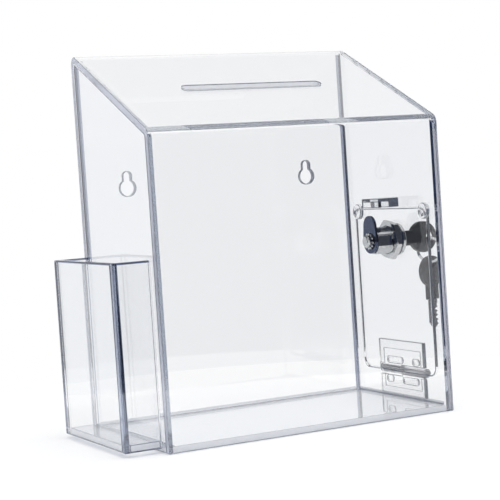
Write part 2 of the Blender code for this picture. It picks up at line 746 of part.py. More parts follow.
def build_plug(lock_axis):
    """Turning plug with a keyway from outside and a square tenon that carries the cam."""
    length = PLUG_FACE_X - BARREL_END_X
    middle = (PLUG_FACE_X + BARREL_END_X) / 2
    plug = rod("lock_plug", PLUG_DIAMETER / 2, length)
    place(plug, lock_place(middle), TURNED_ALONG_X)
    tenon_root = BARREL_END_X + CAM_THICKNESS
    tenon = block("tenon", (tenon_root - TENON_END_X, TENON_SIDE, TENON_SIDE))
    place(tenon, lock_place((tenon_root + TENON_END_X) / 2))
    join(plug, tenon)
    keyway_inner = PLUG_FACE_X - KEYWAY_DEPTH
    keyway_outer = PLUG_FACE_X + CUT_OVERRUN
    keyway = block("keyway_cutter", (keyway_outer - keyway_inner, KEYWAY_WIDTH, KEYWAY_HEIGHT))
    place(keyway, lock_place((keyway_outer + keyway_inner) / 2))
    cut(plug, keyway)
    hole_end = HEAD_SEAT_X + SCREW_SHANK_LENGTH + SEAT_GAP
    hole_start = TENON_END_X - CUT_OVERRUN
    hole = rod("screw_hole", SCREW_SHANK_DIAMETER / 2 + SEAT_GAP, hole_end - hole_start)
    place(hole, lock_place((hole_end + hole_start) / 2), TURNED_ALONG_X)
    cut(plug, hole)
    move_origin(plug, lock_axis)
    as_part(smooth_round(plug), CHROME)


def cam_outline():
    """Return the cam in Y and Z: a round root, straight sides and a narrower round tip."""
    tip_z = CAM_REACH - CAM_TIP_RADIUS
    lean = math.asin((CAM_ROOT_RADIUS - CAM_TIP_RADIUS) / tip_z)
    tip = arc((0, tip_z), CAM_TIP_RADIUS, lean, math.pi - lean, CORNER_STEPS * 2)
    root = arc((0, 0), CAM_ROOT_RADIUS, math.pi - lean, 2 * math.pi + lean, CORNER_STEPS * 4)
    return tip + root


def build_cam(lock_axis):
    """Flat cam on the plug's tenon, standing upright as when the box is locked."""
    half = TENON_SIDE / 2 + SEAT_GAP
    square = rectangle(-half, half, -half, half)
    cam = flat_plate("lock_cam", [cam_outline(), square], CAM_THICKNESS)
    soften(cam, EDGE_CHAMFER)
    place(cam, lock_place((CAM_OUTER_X + CAM_INNER_X) / 2), ACROSS_X)
    move_origin(cam, lock_axis)
    as_part(smooth_round(cam), STEEL)


def build_cam_screw(lock_axis):
    """Toothed washer and cross-recessed screw that hold the cam on the plug."""
    teeth = []
    for tooth in range(2 * STAR_TOOTH_COUNT):
        radius = STAR_WASHER_DIAMETER / 2 - (tooth % 2) * STAR_TOOTH_DEPTH
        angle = math.pi * tooth / STAR_TOOTH_COUNT
        teeth.append((radius * math.cos(angle), radius * math.sin(angle)))
    hole = circle(SCREW_SHANK_DIAMETER / 2 + SEAT_GAP)
    washer = flat_plate("cam_washer", [teeth, hole], STAR_WASHER_THICKNESS)
    place(washer, lock_place((WASHER_OUTER_X + WASHER_INNER_X) / 2), ACROSS_X)
    move_origin(washer, lock_axis)
    as_part(washer, CHROME)

    head = SCREW_HEAD_DIAMETER / 2
    shank = SCREW_SHANK_DIAMETER / 2
    crown = arc(
        (head - SCREW_HEAD_ROUNDING, -SCREW_HEAD_HEIGHT + SCREW_HEAD_ROUNDING),
        SCREW_HEAD_ROUNDING, 0, -math.pi / 2, 4,
    )
    profile = [(0, SCREW_SHANK_LENGTH), (shank, SCREW_SHANK_LENGTH), (shank, 0), (head, 0)] + crown
    profile.append((0, -SCREW_HEAD_HEIGHT))
    screw = turned("cam_screw", profile)
    place(screw, lock_place(HEAD_SEAT_X), TURNED_ALONG_X)
    for long_y in (True, False):
        size = (SCREW_CROSS_LENGTH, SCREW_CROSS_WIDTH) if long_y else (SCREW_CROSS_WIDTH, SCREW_CROSS_LENGTH)
        cross = block("cross_cutter", (2 * SCREW_CROSS_DEPTH, *size))
        place(cross, lock_place(HEAD_SEAT_X - SCREW_HEAD_HEIGHT))
        cut(screw, cross)
    move_origin(screw, lock_axis)
    as_part(smooth_round(screw), CHROME)


# Keys and ring

def bow_outline():
    """Return the bow in the key's own frame, whose origin is the ring hole and whose +X is the bow's end."""
    centre_x = KEY_HOLE_INSET - KEY_BOW_RADIUS
    half = KEY_NECK_WIDTH / 2
    angle = math.asin(half / KEY_BOW_RADIUS)
    neck_end = centre_x - KEY_BOW_RADIUS - KEY_NECK_LENGTH
    disc = arc((centre_x, 0), KEY_BOW_RADIUS, -math.pi + angle, math.pi - angle, CIRCLE_STEPS)
    return disc + [(neck_end, half), (neck_end, -half)]


def blade_outline():
    """Return the blade and its tang, with bitting cuts along the lower edge."""
    neck_end = KEY_HOLE_INSET - 2 * KEY_BOW_RADIUS - KEY_NECK_LENGTH
    shoulder = neck_end - SEAT_GAP
    tip = neck_end - KEY_BLADE_LENGTH
    half = KEY_BLADE_WIDTH / 2
    tang = KEY_TANG_WIDTH / 2
    points = [
        (neck_end + KEY_TANG_DEPTH, -tang), (neck_end + KEY_TANG_DEPTH, tang), (shoulder, tang),
        (shoulder, half), (tip + half, half), (tip, half * KEY_TIP_SHARE), (tip, -half * KEY_TIP_SHARE),
    ]
    start = tip + half * KEY_POINT_SHARE
    points.append((start, -half))
    for index, share in enumerate(KEY_CUT_DEPTH_SHARES):
        middle = start + KEY_CUT_PITCH * (index + 1 / 2)
        depth = KEY_BLADE_WIDTH * share
        points.append((middle, -half + depth))
        points.append((start + KEY_CUT_PITCH * (index + 1), -half))
    points += [(shoulder, -half), (shoulder, -tang)]
    return points


def build_key(blade_name, bow_name, hole_place, turn, parent):
    """Build one key with its ring hole at a place, turned from lying along X."""
    bow = flat_plate(bow_name, [bow_outline(), circle(KEY_HOLE_DIAMETER / 2, 24)], KEY_BOW_THICKNESS)
    soften(bow, KEY_BOW_ROUNDING, 2)
    neck_end = KEY_HOLE_INSET - 2 * KEY_BOW_RADIUS - KEY_NECK_LENGTH
    pocket_end = neck_end + KEY_TANG_DEPTH + SEAT_GAP
    pocket_start = neck_end - CUT_OVERRUN
    pocket_width = KEY_TANG_WIDTH + 2 * SEAT_GAP
    pocket_height = KEY_BLADE_THICKNESS + 2 * SEAT_GAP
    pocket = block("tang_cutter", (pocket_end - pocket_start, pocket_width, pocket_height))
    place(pocket, ((pocket_end + pocket_start) / 2, 0, 0))
    cut(bow, pocket)
    blade = flat_plate(blade_name, [blade_outline()], KEY_BLADE_THICKNESS)
    for piece, material in ((bow, BLACK), (blade, STEEL)):
        place(piece, hole_place, (Matrix(turn) @ ACROSS_Y.to_matrix()).to_euler())
        move_origin(piece, parent)
        as_part(smooth_round(piece), material)


def build_ring(ring_axis):
    """Key ring hanging in the bow's hole."""
    mesh = bpy.data.meshes.new("key_ring")
    body = bmesh.new()
    for step in range(RING_STEPS):
        turn = Matrix.Rotation(2 * math.pi * step / RING_STEPS, 4, "Z")
        for section in range(RING_SECTION_STEPS):
            angle = 2 * math.pi * section / RING_SECTION_STEPS
            reach = RING_RADIUS + RING_WIRE_RADIUS * math.cos(angle)
            point = Vector((reach, 0, RING_WIRE_RADIUS * math.sin(angle)))
            body.verts.new(turn @ point)
    body.verts.ensure_lookup_table()
    for step in range(RING_STEPS):
        here = step * RING_SECTION_STEPS
        there = (step + 1) % RING_STEPS * RING_SECTION_STEPS
        for section in range(RING_SECTION_STEPS):
            following = (section + 1) % RING_SECTION_STEPS
            body.faces.new([body.verts[index] for index in (
                here + section, there + section, there + following, here + following)])
    bmesh.ops.recalc_face_normals(body, faces=body.faces)
    body.to_mesh(mesh)
    body.free()
    ring = link_mesh("key_ring", mesh, PARTS)
    turn = Matrix.Rotation(math.radians(RING_TURN_DEG), 3, "Z") @ Matrix.Rotation(math.pi / 2, 3, "X")
    place(ring, (KEY_HOLE_X, LOCK_Y, RING_CENTRE_Z), turn.to_euler())
    move_origin(ring, ring_axis)
    as_part(smooth_round(ring), STEEL)


def build_all():
    """Build the box from the shell inwards to the keys."""
    build_wrap()
    build_side_panels()
    build_floor()
    build_pocket()
    build_door_stops()
    build_catch()
    door_axis = add_axis("door_axis", (HINGE_AXIS_X, 0, HINGE_AXIS_Z))
    build_hinge(door_axis)
    build_door(door_axis)
    build_barrel(door_axis)
    build_nut(door_axis)
    lock_axis = add_axis("lock_axis", lock_place(BARREL_END_X), door_axis)
    build_plug(lock_axis)
    build_cam(lock_axis)
    build_cam_screw(lock_axis)
    key_axis = add_axis("key_axis", lock_place(KEY_NECK_END_X), lock_axis)
    hole_place = lock_place(KEY_HOLE_X)
    build_key("key_blade", "key_bow", hole_place, Matrix.Identity(3), key_axis)
    ring_axis = add_axis("ring_axis", (KEY_HOLE_X, LOCK_Y, RING_TOP_Z), key_axis)
    build_ring(ring_axis)
    spare_axis = add_axis("spare_key_axis", (KEY_HOLE_X, LOCK_Y, RING_BOTTOM_Z), ring_axis)
    hang = Matrix.Rotation(math.radians(SPARE_KEY_TURN_DEG), 3, "Z") @ Matrix.Rotation(-math.pi / 2, 3, "Y")
    spare_hole = (KEY_HOLE_X, LOCK_Y, SPARE_HOLE_Z)
    build_key("spare_key_blade", "spare_key_bow", spare_hole, hang, spare_axis)


build_all()
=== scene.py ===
"""Clear acrylic suggestion box, dressed for a product photograph on a white table."""
import json
import logging
import math
from dataclasses import dataclass, replace
from enum import Enum

import bmesh
import bpy
from mathutils import Matrix, Vector

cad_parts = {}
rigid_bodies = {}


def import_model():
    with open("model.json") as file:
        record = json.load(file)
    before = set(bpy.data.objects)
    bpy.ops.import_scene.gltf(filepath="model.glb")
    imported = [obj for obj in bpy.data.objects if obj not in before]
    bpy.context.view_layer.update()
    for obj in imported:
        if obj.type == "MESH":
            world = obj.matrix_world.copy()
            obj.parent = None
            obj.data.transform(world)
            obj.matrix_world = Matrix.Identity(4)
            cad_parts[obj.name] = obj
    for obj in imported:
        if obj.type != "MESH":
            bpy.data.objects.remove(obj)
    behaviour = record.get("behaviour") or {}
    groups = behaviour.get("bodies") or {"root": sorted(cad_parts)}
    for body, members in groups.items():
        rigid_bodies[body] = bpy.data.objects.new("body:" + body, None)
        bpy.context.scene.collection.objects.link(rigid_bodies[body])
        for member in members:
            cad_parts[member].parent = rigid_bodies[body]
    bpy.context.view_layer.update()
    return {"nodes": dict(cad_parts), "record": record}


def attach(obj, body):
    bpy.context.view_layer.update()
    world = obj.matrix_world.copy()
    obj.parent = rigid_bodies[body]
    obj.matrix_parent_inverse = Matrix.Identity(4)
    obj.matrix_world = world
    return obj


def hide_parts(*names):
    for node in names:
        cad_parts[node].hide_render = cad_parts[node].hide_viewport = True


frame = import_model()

log = logging.getLogger("suggestion_box")
MM = 0.001
ACRYLIC_IOR = 1.49
KEY_RING_X = 133.7 * MM
LOCK_Y = -2 * MM
LOCK_Z = 115.5 * MM
SPARE_KEY_Z = 96.1 * MM
SPARE_KEY_TURN_DEG = 14
MOULDED_WALL_DEG = 10
MERGE = 0.001 * MM

Point = tuple[float, float]
Place = tuple[float, float, float]
Colour = tuple[float, float, float, float]
Sockets = dict[str, bpy.types.NodeSocket]
ORIGIN: Place = (0, 0, 0)


class Edge(Enum):
    """Kinds of narrow faces, by how they were made."""

    RIM = "flame-polished rim"
    END = "machine-polished end"
    OUTLINE = "dulled rim of a hole"
    ROUTED = "routed edge"
    SAWN = "sawn edge"
    PLANED = "planed end"
    WALL = "side wall of a moulding"


def linear(hex_colour: str) -> Colour:
    """Turn an sRGB hex colour into linear RGBA.

    Args:
        hex_colour: Six hex digits with a leading hash.

    Returns:
        Linear red, green, blue and an alpha of one.
    """
    parts = [int(hex_colour[place : place + 2], 16) / 255 for place in (1, 3, 5)]
    values = [part / 12.92 if part <= 0.04045 else ((part + 0.055) / 1.055) ** 2.4 for part in parts]
    return (values[0], values[1], values[2], 1.0)


class NodeGraph:
    """Node tree of one material or of the world, with a short way to add nodes."""

    def __init__(self, tree: bpy.types.NodeTree) -> None:
        """Start from a tree, emptied."""
        self.tree = tree
        tree.nodes.clear()

    def add(self, kind: str, settings: dict | None = None, inputs: dict | None = None) -> bpy.types.Node:
        """Add a node with its settings, values and links.

        Args:
            kind: Node type, such as ShaderNodeTexNoise.
            settings: Node properties by name.
            inputs: Values or output sockets by input name or index.

        Returns:
            The new node.
        """
        node = self.tree.nodes.new(kind)
        for name, value in (settings or {}).items():
            setattr(node, name, value)
        for key, value in (inputs or {}).items():
            socket = node.inputs[key]
            if isinstance(value, bpy.types.NodeSocket):
                self.tree.links.new(value, socket)
            else:
                socket.default_value = value
        return node


@dataclass(frozen=True)
class Finish:
    """Finish of one real material.

    Attributes:
        name: Material name.
    """

    name: str

    def material(self) -> bpy.types.Material:
        """Make the material.

        Returns:
            The new material.
        """
        material = bpy.data.materials.new(self.name)
        material.use_nodes = True
        graph = NodeGraph(material.node_tree)
        place = graph.add("ShaderNodeTexCoord").outputs["Object"]
        graph.add("ShaderNodeOutputMaterial", inputs=self.shade(graph, place))
        return material

    def shade(self, graph: NodeGraph, place: bpy.types.NodeSocket) -> Sockets:
        """Add the nodes that make the finish.

        Args:
            graph: The material's nodes.
            place: Place on the piece.

        Returns:
            What goes into the output node, by input name.
        """
        raise NotImplementedError

    @staticmethod
    def uneven(
        graph: NodeGraph, place: bpy.types.NodeSocket, mark: float, detail: float, low: float, high: float
    ) -> bpy.types.NodeSocket:
        """Make a roughness that strays between two values.

        Args:
            graph: The material's nodes.
            place: Place on the piece.
            mark: Distance between two marks.
            detail: How many finer layers the marks have.
            low: Least roughness.
            high: Greatest roughness.

        Returns:
            The roughness.
        """
        marks = graph.add("ShaderNodeTexNoise", inputs={"Vector": place, "Scale": 1 / mark, "Detail": detail})
        spread = {"Value": marks.outputs["Fac"], "To Min": low, "To Max": high}
        return graph.add("ShaderNodeMapRange", inputs=spread).outputs["Result"]

    @staticmethod
    def relief(
        graph: NodeGraph, place: bpy.types.NodeSocket, wave: float, detail: float, height: float
    ) -> bpy.types.NodeSocket:
        """Make a face that isn't quite flat.

        Args:
            graph: The material's nodes.
            place: Place on the piece.
            wave: Distance between two waves or grains.
            detail: How many finer layers they have.
            height: Their height.

        Returns:
            The bent normal.
        """
        waves = graph.add("ShaderNodeTexNoise", inputs={"Vector": place, "Scale": 1 / wave, "Detail": detail})
        bent = {"Height": waves.outputs["Fac"], "Distance": height, "Strength": 1.0}
        return graph.add("ShaderNodeBump", inputs=bent).outputs["Normal"]


@dataclass(frozen=True)
class ClearPlastic(Finish):
    """Clear plastic: polished faces, and a blue-grey body that only shows along the sheet.

    Attributes:
        roughness: Roughness of the polished face.
        body: Colour that the plastic takes on over a long way through it.
        density: Strength of that colour for one metre.
        ripple: Height of the slow waves in the face.
        wave: Distance between two of them.
        ior: Index of refraction.
        painted_shade_tint: Colour laid over the face: white where it is quite clear, darker where shade is
            painted on.
    """

    roughness: float
    body: str
    density: float
    ripple: float
    wave: float
    ior: float = ACRYLIC_IOR
    painted_shade_tint: str = "#FFFFFF"

    def shade(self, graph: NodeGraph, place: bpy.types.NodeSocket) -> Sockets:
        """Add a refracting face over an absorbing body.

        Args:
            graph: The material's nodes.
            place: Place on the piece.

        Returns:
            Surface and volume.
        """
        face = {
            "Base Color": linear(self.painted_shade_tint),
            "Roughness": self.roughness,
            "IOR": self.ior,
            "Transmission Weight": 1.0,
            "Normal": self.relief(graph, place, self.wave, 1.0, self.ripple),
        }
        body = {"Color": linear(self.body), "Density": self.density}
        return {
            "Surface": graph.add("ShaderNodeBsdfPrincipled", inputs=face).outputs["BSDF"],
            "Volume": graph.add("ShaderNodeVolumeAbsorption", inputs=body).outputs["Volume"],
        }


@dataclass(frozen=True)
class FrostedEdge(Finish):
    """Saw-cut or routed edge of clear sheet: pale, part of the light spreads in its fine marks.

    Attributes:
        colour: Colour of the edge.
        clear: Share of the light that still goes through it.
        roughness: Roughness of the cut.
        mark: Distance between two cutter marks.
    """

    colour: str
    clear: float
    roughness: float
    mark: float

    def shade(self, graph: NodeGraph, place: bpy.types.NodeSocket) -> Sockets:
        """Add a face that lets part of the light through and spreads the rest.

        Args:
            graph: The material's nodes.
            place: Place on the piece.

        Returns:
            Surface.
        """
        low, high = self.roughness * 0.7, self.roughness * 1.3
        face = {
            "Base Color": linear(self.colour),
            "Roughness": self.uneven(graph, place, self.mark, 2.0, low, high),
            "IOR": ACRYLIC_IOR,
            "Transmission Weight": self.clear,
        }
        return {"Surface": graph.add("ShaderNodeBsdfPrincipled", inputs=face).outputs["BSDF"]}


@dataclass(frozen=True)
class Metal(Finish):
    """Plated metal, with fine scratches that spread its highlights.

    Attributes:
        colour: Colour of the plating.
        roughness: Mean roughness.
        spread: How far the roughness strays from its mean.
        mark: Distance between two scratches.
    """

    colour: str
    roughness: float
    spread: float
    mark: float

    def shade(self, graph: NodeGraph, place: bpy.types.NodeSocket) -> Sockets:
        """Add a metal face of uneven roughness.

        Args:
            graph: The material's nodes.
            place: Place on the piece.

        Returns:
            Surface.
        """
        low, high = self.roughness - self.spread, self.roughness + self.spread
        face = {
            "Base Color": linear(self.colour),
            "Metallic": 1.0,
            "Roughness": self.uneven(graph, place, self.mark, 3.0, low, high),
        }
        return {"Surface": graph.add("ShaderNodeBsdfPrincipled", inputs=face).outputs["BSDF"]}


@dataclass(frozen=True)
class MouldedBlack(Finish):
    """Black plastic moulded in a finely eroded tool, whose texture dulls its sheen.

    Attributes:
        colour: Colour of the plastic.
        roughness: Roughness between the grains.
        height: Height of the texture.
        grain: Distance between two grains.
    """

    colour: str
    roughness: float
    height: float
    grain: float

    def shade(self, graph: NodeGraph, place: bpy.types.NodeSocket) -> Sockets:
        """Add a dull face with a fine grain.

        Args:
            graph: The material's nodes.
            place: Place on the piece.

        Returns:
            Surface.
        """
        face = {
            "Base Color": linear(self.colour),
            "Roughness": self.roughness,
            "IOR": 1.5,
            "Normal": self.relief(graph, place, self.grain, 2.0, self.height),
        }
        return {"Surface": graph.add("ShaderNodeBsdfPrincipled", inputs=face).outputs["BSDF"]}


@dataclass(frozen=True)
class Laminate(Finish):
    """Matt white laminate of a table top, with a hardly seen mottle.

    Attributes:
        darkest: Tone of its darkest spots, where white is one.
        mottle: Distance between two spots.
    """

    darkest: float
    mottle: float

    def shade(self, graph: NodeGraph, place: bpy.types.NodeSocket) -> Sockets:
        """Add a matt face of uneven tone."""
        tone = self.uneven(graph, place, self.mottle, 2.0, self.darkest, 1.0)
        return {"Surface": graph.add("ShaderNodeBsdfDiffuse", inputs={"Color": tone}).outputs["BSDF"]}


class Finishes:
    """All materials of the box, by the record's slot, by piece and by kind of edge."""

    SQUARE_ON = 0.98

    def __init__(self) -> None:
        """Make each material once."""
        # Cast acrylic sheet: clear through its thickness, blue-grey along its edges
        sheet = ClearPlastic("cast_acrylic_sheet", 0.0, "#93A4BC", 9.0, 0.02 * MM, 71.43 * MM)
        # The same sheet in its long lengths, bent or laid flat: paler, so that light runs through
        long_sheet = replace(sheet, name="cast_acrylic_long_sheet", density=3.0)
        # Flame-polished rim of the pocket: a navy tint, painted shade that draws the navy outline the rim
        # shows
        rim = replace(sheet, name="flame_polished_rim", painted_shade_tint="#66719A")
        # Machine-polished ends of the pocket's walls: the same painted blue shade, fainter
        end = replace(sheet, name="machine_polished_end", painted_shade_tint="#D3D9E8")
        # Dulled rims of the holes: a little rough, with a grey tint that paints their shade as thin grey
        # outlines
        outline = replace(long_sheet, name="dulled_hole_rim", roughness=0.15, painted_shade_tint="#6F7480")
        # Solvent cement in the inside corners: cloudier than the sheet, with a grey tint that paints the
        # shade along the corners
        bead = replace(sheet, name="solvent_cement_bead", roughness=0.12, wave=5 * MM, painted_shade_tint="#A3A9BA")
        # The same along the floor, with paler painted shade
        floor_bead_shade = replace(bead, name="clear_cement_bead", roughness=0.2, density=3.0, painted_shade_tint="#D9DBE0")
        # The cutter marks of the next four are drawn coarser than real ones, so that they show
        # Film in the right front joint: its milky lilac is painted pale light
        film = FrostedEdge("solvent_cement_film", "#E3E5EF", 0.35, 0.3, 1.111 * MM)
        # Routed edges of holes and of the door: frosted by cutter marks, with a soft grey tint that is
        # painted shade
        routed = FrostedEdge("routed_acrylic_edge", "#8C9099", 0.5, 0.3, 0.8333 * MM)
        # Sawn edges of the floor: frosted, so that they stay pale
        sawn = FrostedEdge("sawn_acrylic_edge", "#ECEDF1", 0.4, 0.4, 1.111 * MM)
        # Planed ends of the bent sheet: half clear, half frosted, so that its long edges stay pale
        planed = FrostedEdge("planed_acrylic_end", "#CDD1DE", 0.6, 0.15, 1.111 * MM)
        # Injection moulded styrene fittings: a little cloudier and wavier than the sheet
        moulding = ClearPlastic("moulded_clear_styrene", 0.03, "#8792A3", 18.0, 0.08 * MM, 6.25 * MM, 1.55)
        # Side walls of those fittings: a grey tint, painted shade that outlines the part and shades the
        # knuckles
        wall = replace(moulding, name="moulded_side_wall", roughness=0.05, painted_shade_tint="#6C727E")
        # The scratches of the metals are drawn coarser than real ones, so that they show
        # Bright chrome on die-cast zinc: sharp reflections
        chrome = Metal("chrome_plated_zinc", "#C9CACB", 0.10, 0.03, 1.111 * MM)
        # Nickel-plated steel strip: darker, softer reflections
        nickel = Metal("nickel_plated_steel", "#8E9096", 0.24, 0.06, 0.6667 * MM)
        # Black nickel on the stamped cam: a near-black mirror with a bright rounded edge
        dark_nickel = Metal("black_nickel_plated_steel", "#4E566B", 0.07, 0.03, 1.4286 * MM)
        # Bright nickel on the spring wire of the key ring: the palest metal of the box
        bright = Metal("bright_nickel_wire", "#E2E3E4", 0.12, 0.04, 1.111 * MM)
        # Black ABS bows of the keys, spark-eroded grain: a dull, soft sheen
        black = MouldedBlack("black_abs", "#1C1D20", 0.42, 0.04 * MM, 0.3846 * MM)
        slot_finishes = {
            "clear_acrylic": sheet,
            "clear_moulding": moulding,
            "chromed_zinc": chrome,
            "plated_steel": nickel,
            "black_plastic": black,
        }
        self.by_slot = {slot: finish.material() for slot, finish in slot_finishes.items()}
        own_finishes = {
            dark_nickel: ("stamped_cam",),
            bright: ("split_ring",),
            long_sheet: ("bent_sheet", "floor"),
            film: ("cement_film",),
            bead: ("bead_back_right", "bead_back_left"),
            floor_bead_shade: ("bead_floor_back", "bead_floor_right", "bead_floor_left"),
        }
        self.by_piece = {}
        for finish, pieces in own_finishes.items():
            self.by_piece |= dict.fromkeys(pieces, finish.material())
        edge_finishes = {
            Edge.RIM: rim,
            Edge.END: end,
            Edge.OUTLINE: outline,
            Edge.ROUTED: routed,
            Edge.SAWN: sawn,
            Edge.PLANED: planed,
            Edge.WALL: wall,
        }
        self.edges = {edge: finish.material() for edge, finish in edge_finishes.items()}

    def dress(self, obj: bpy.types.Object, slot: str) -> None:
        """Give a piece its own finish, or else that of its slot in the record."""
        obj.data.materials.clear()
        obj.data.materials.append(self.by_piece.get(obj.name, self.by_slot[slot]))

    def edge_index(self, obj: bpy.types.Object, edge: Edge) -> int:
        """Find an edge's finish on a piece, and add it where it is missing.

        Args:
            obj: The piece, which has its main finish.
            edge: Kind of edge.

        Returns:
            The finish's place among the piece's materials.
        """
        material = self.edges[edge]
        if material not in list(obj.data.materials):
            obj.data.materials.append(material)
        return list(obj.data.materials).index(material)

    def dress_edges(
        self,
        obj: bpy.types.Object,
        edge: Edge,
        flat: Vector,
        zone: tuple[Vector, Vector] | None = None,
        lean_deg: float = 45,
    ) -> None:
        """Give the narrow faces of a sheet their own finish; most of these finishes carry painted shade.

        Args:
            obj: The sheet, which has its main finish.
            edge: Kind of edge.
            flat: Direction square to the sheet.
            zone: Lowest and highest corner of the place where the edge lies, or None for all of the sheet.
            lean_deg: How far a face leans from the sheet's before it counts as an edge.
        """
        least = math.cos(math.radians(lean_deg))
        index = self.edge_index(obj, edge)
        for face in obj.data.polygons:
            inside = zone is None or all(
                low <= middle <= high for low, middle, high in zip(zone[0], face.center, zone[1])
            )
            if inside and abs(face.normal.dot(flat)) < least:
                face.material_index = index

    def dress_ends(self, obj: bpy.types.Object, edge: Edge, *directions: Place) -> None:
        """Give the faces that look in some directions their own finish.

        Args:
            obj: The sheet, which has its main finish.
            edge: Kind of edge.
            directions: Where those faces look.
        """
        index = self.edge_index(obj, edge)
        for face in obj.data.polygons:
            if any(face.normal.dot(Vector(direction)) > self.SQUARE_ON for direction in directions):
                face.material_index = index


class Turn(Enum):
    """How a piece drawn flat, or turned about Z, is laid in the box."""

    NONE = Matrix.Identity(4)
    ACROSS_X = Matrix(((0, 0, 1, 0), (1, 0, 0, 0), (0, 1, 0, 0), (0, 0, 0, 1)))
    ACROSS_Y = Matrix(((1, 0, 0, 0), (0, 0, -1, 0), (0, 1, 0, 0), (0, 0, 0, 1)))
    ALONG_X = Matrix(((0, 0, 1, 0), (0, 1, 0, 0), (-1, 0, 0, 0), (0, 0, 0, 1)))
    AGAINST_X = Matrix(((0, 0, -1, 0), (0, 1, 0, 0), (1, 0, 0, 0), (0, 0, 0, 1)))
    ALONG_Y = Matrix(((1, 0, 0, 0), (0, 0, 1, 0), (0, -1, 0, 0), (0, 0, 0, 1)))


def arc(centre: Point, radius: float, start: float, end: float, steps: int) -> list[Point]:
    """Return points on an arc of so many segments, both ends included, with its angles in radians."""
    angles = [start + (end - start) * step / steps for step in range(steps + 1)]
    return [(centre[0] + radius * math.cos(a), centre[1] + radius * math.sin(a)) for a in angles]


def fillet(before: Point, corner: Point, after: Point, radius: float, steps: int) -> list[Point]:
    """Return the arc that rounds one corner of an outline.

    Args:
        before: Corner before this one.
        corner: The corner.
        after: Corner after this one.
        radius: Radius of the rounding.
        steps: Number of segments.

    Returns:
        Points in order.
    """
    middle = Vector(corner)
    first = (Vector(before) - middle).normalized()
    second = (Vector(after) - middle).normalized()
    half_angle = first.angle(second) / 2
    centre = middle + (first + second).normalized() * radius / math.sin(half_angle)
    start = middle + first * radius / math.tan(half_angle) - centre
    end = middle + second * radius / math.tan(half_angle) - centre
    start_angle = math.atan2(start.y, start.x)
    turn = math.atan2(start.x * end.y - start.y * end.x, start.dot(end))
    return arc(tuple(centre), radius, start_angle, start_angle + turn, steps)


def rounded(corners: list[Point], radius: float, steps: int) -> list[Point]:
    """Return a closed outline with every corner rounded.

    Args:
        corners: Corners in order.
        radius: Radius of the rounding.
        steps: Segments for each corner.

    Returns:
        Points in order.
    """
    points: list[Point] = []
    for index, corner in enumerate(corners):
        following = corners[(index + 1) % len(corners)]
        points += fillet(corners[index - 1], corner, following, radius, steps)
    return points


def rectangle(left: float, right: float, bottom: float, top: float) -> list[Point]:
    """Return the corners of a rectangle, counterclockwise from the lowest."""
    return [(left, bottom), (right, bottom), (right, top), (left, top)]


def stadium(length: float, width: float, steps: int = 16) -> list[Point]:
    """Return a slot outline with round ends, along X.

    Args:
        length: Length over the ends.
        width: Width.
        steps: Segments for each end.

    Returns:
        Points in order.
    """
    half = (length - width) / 2
    right = arc((half, 0), width / 2, -math.pi / 2, math.pi / 2, steps)
    left = arc((-half, 0), width / 2, math.pi / 2, math.pi * 3 / 2, steps)
    return right + left


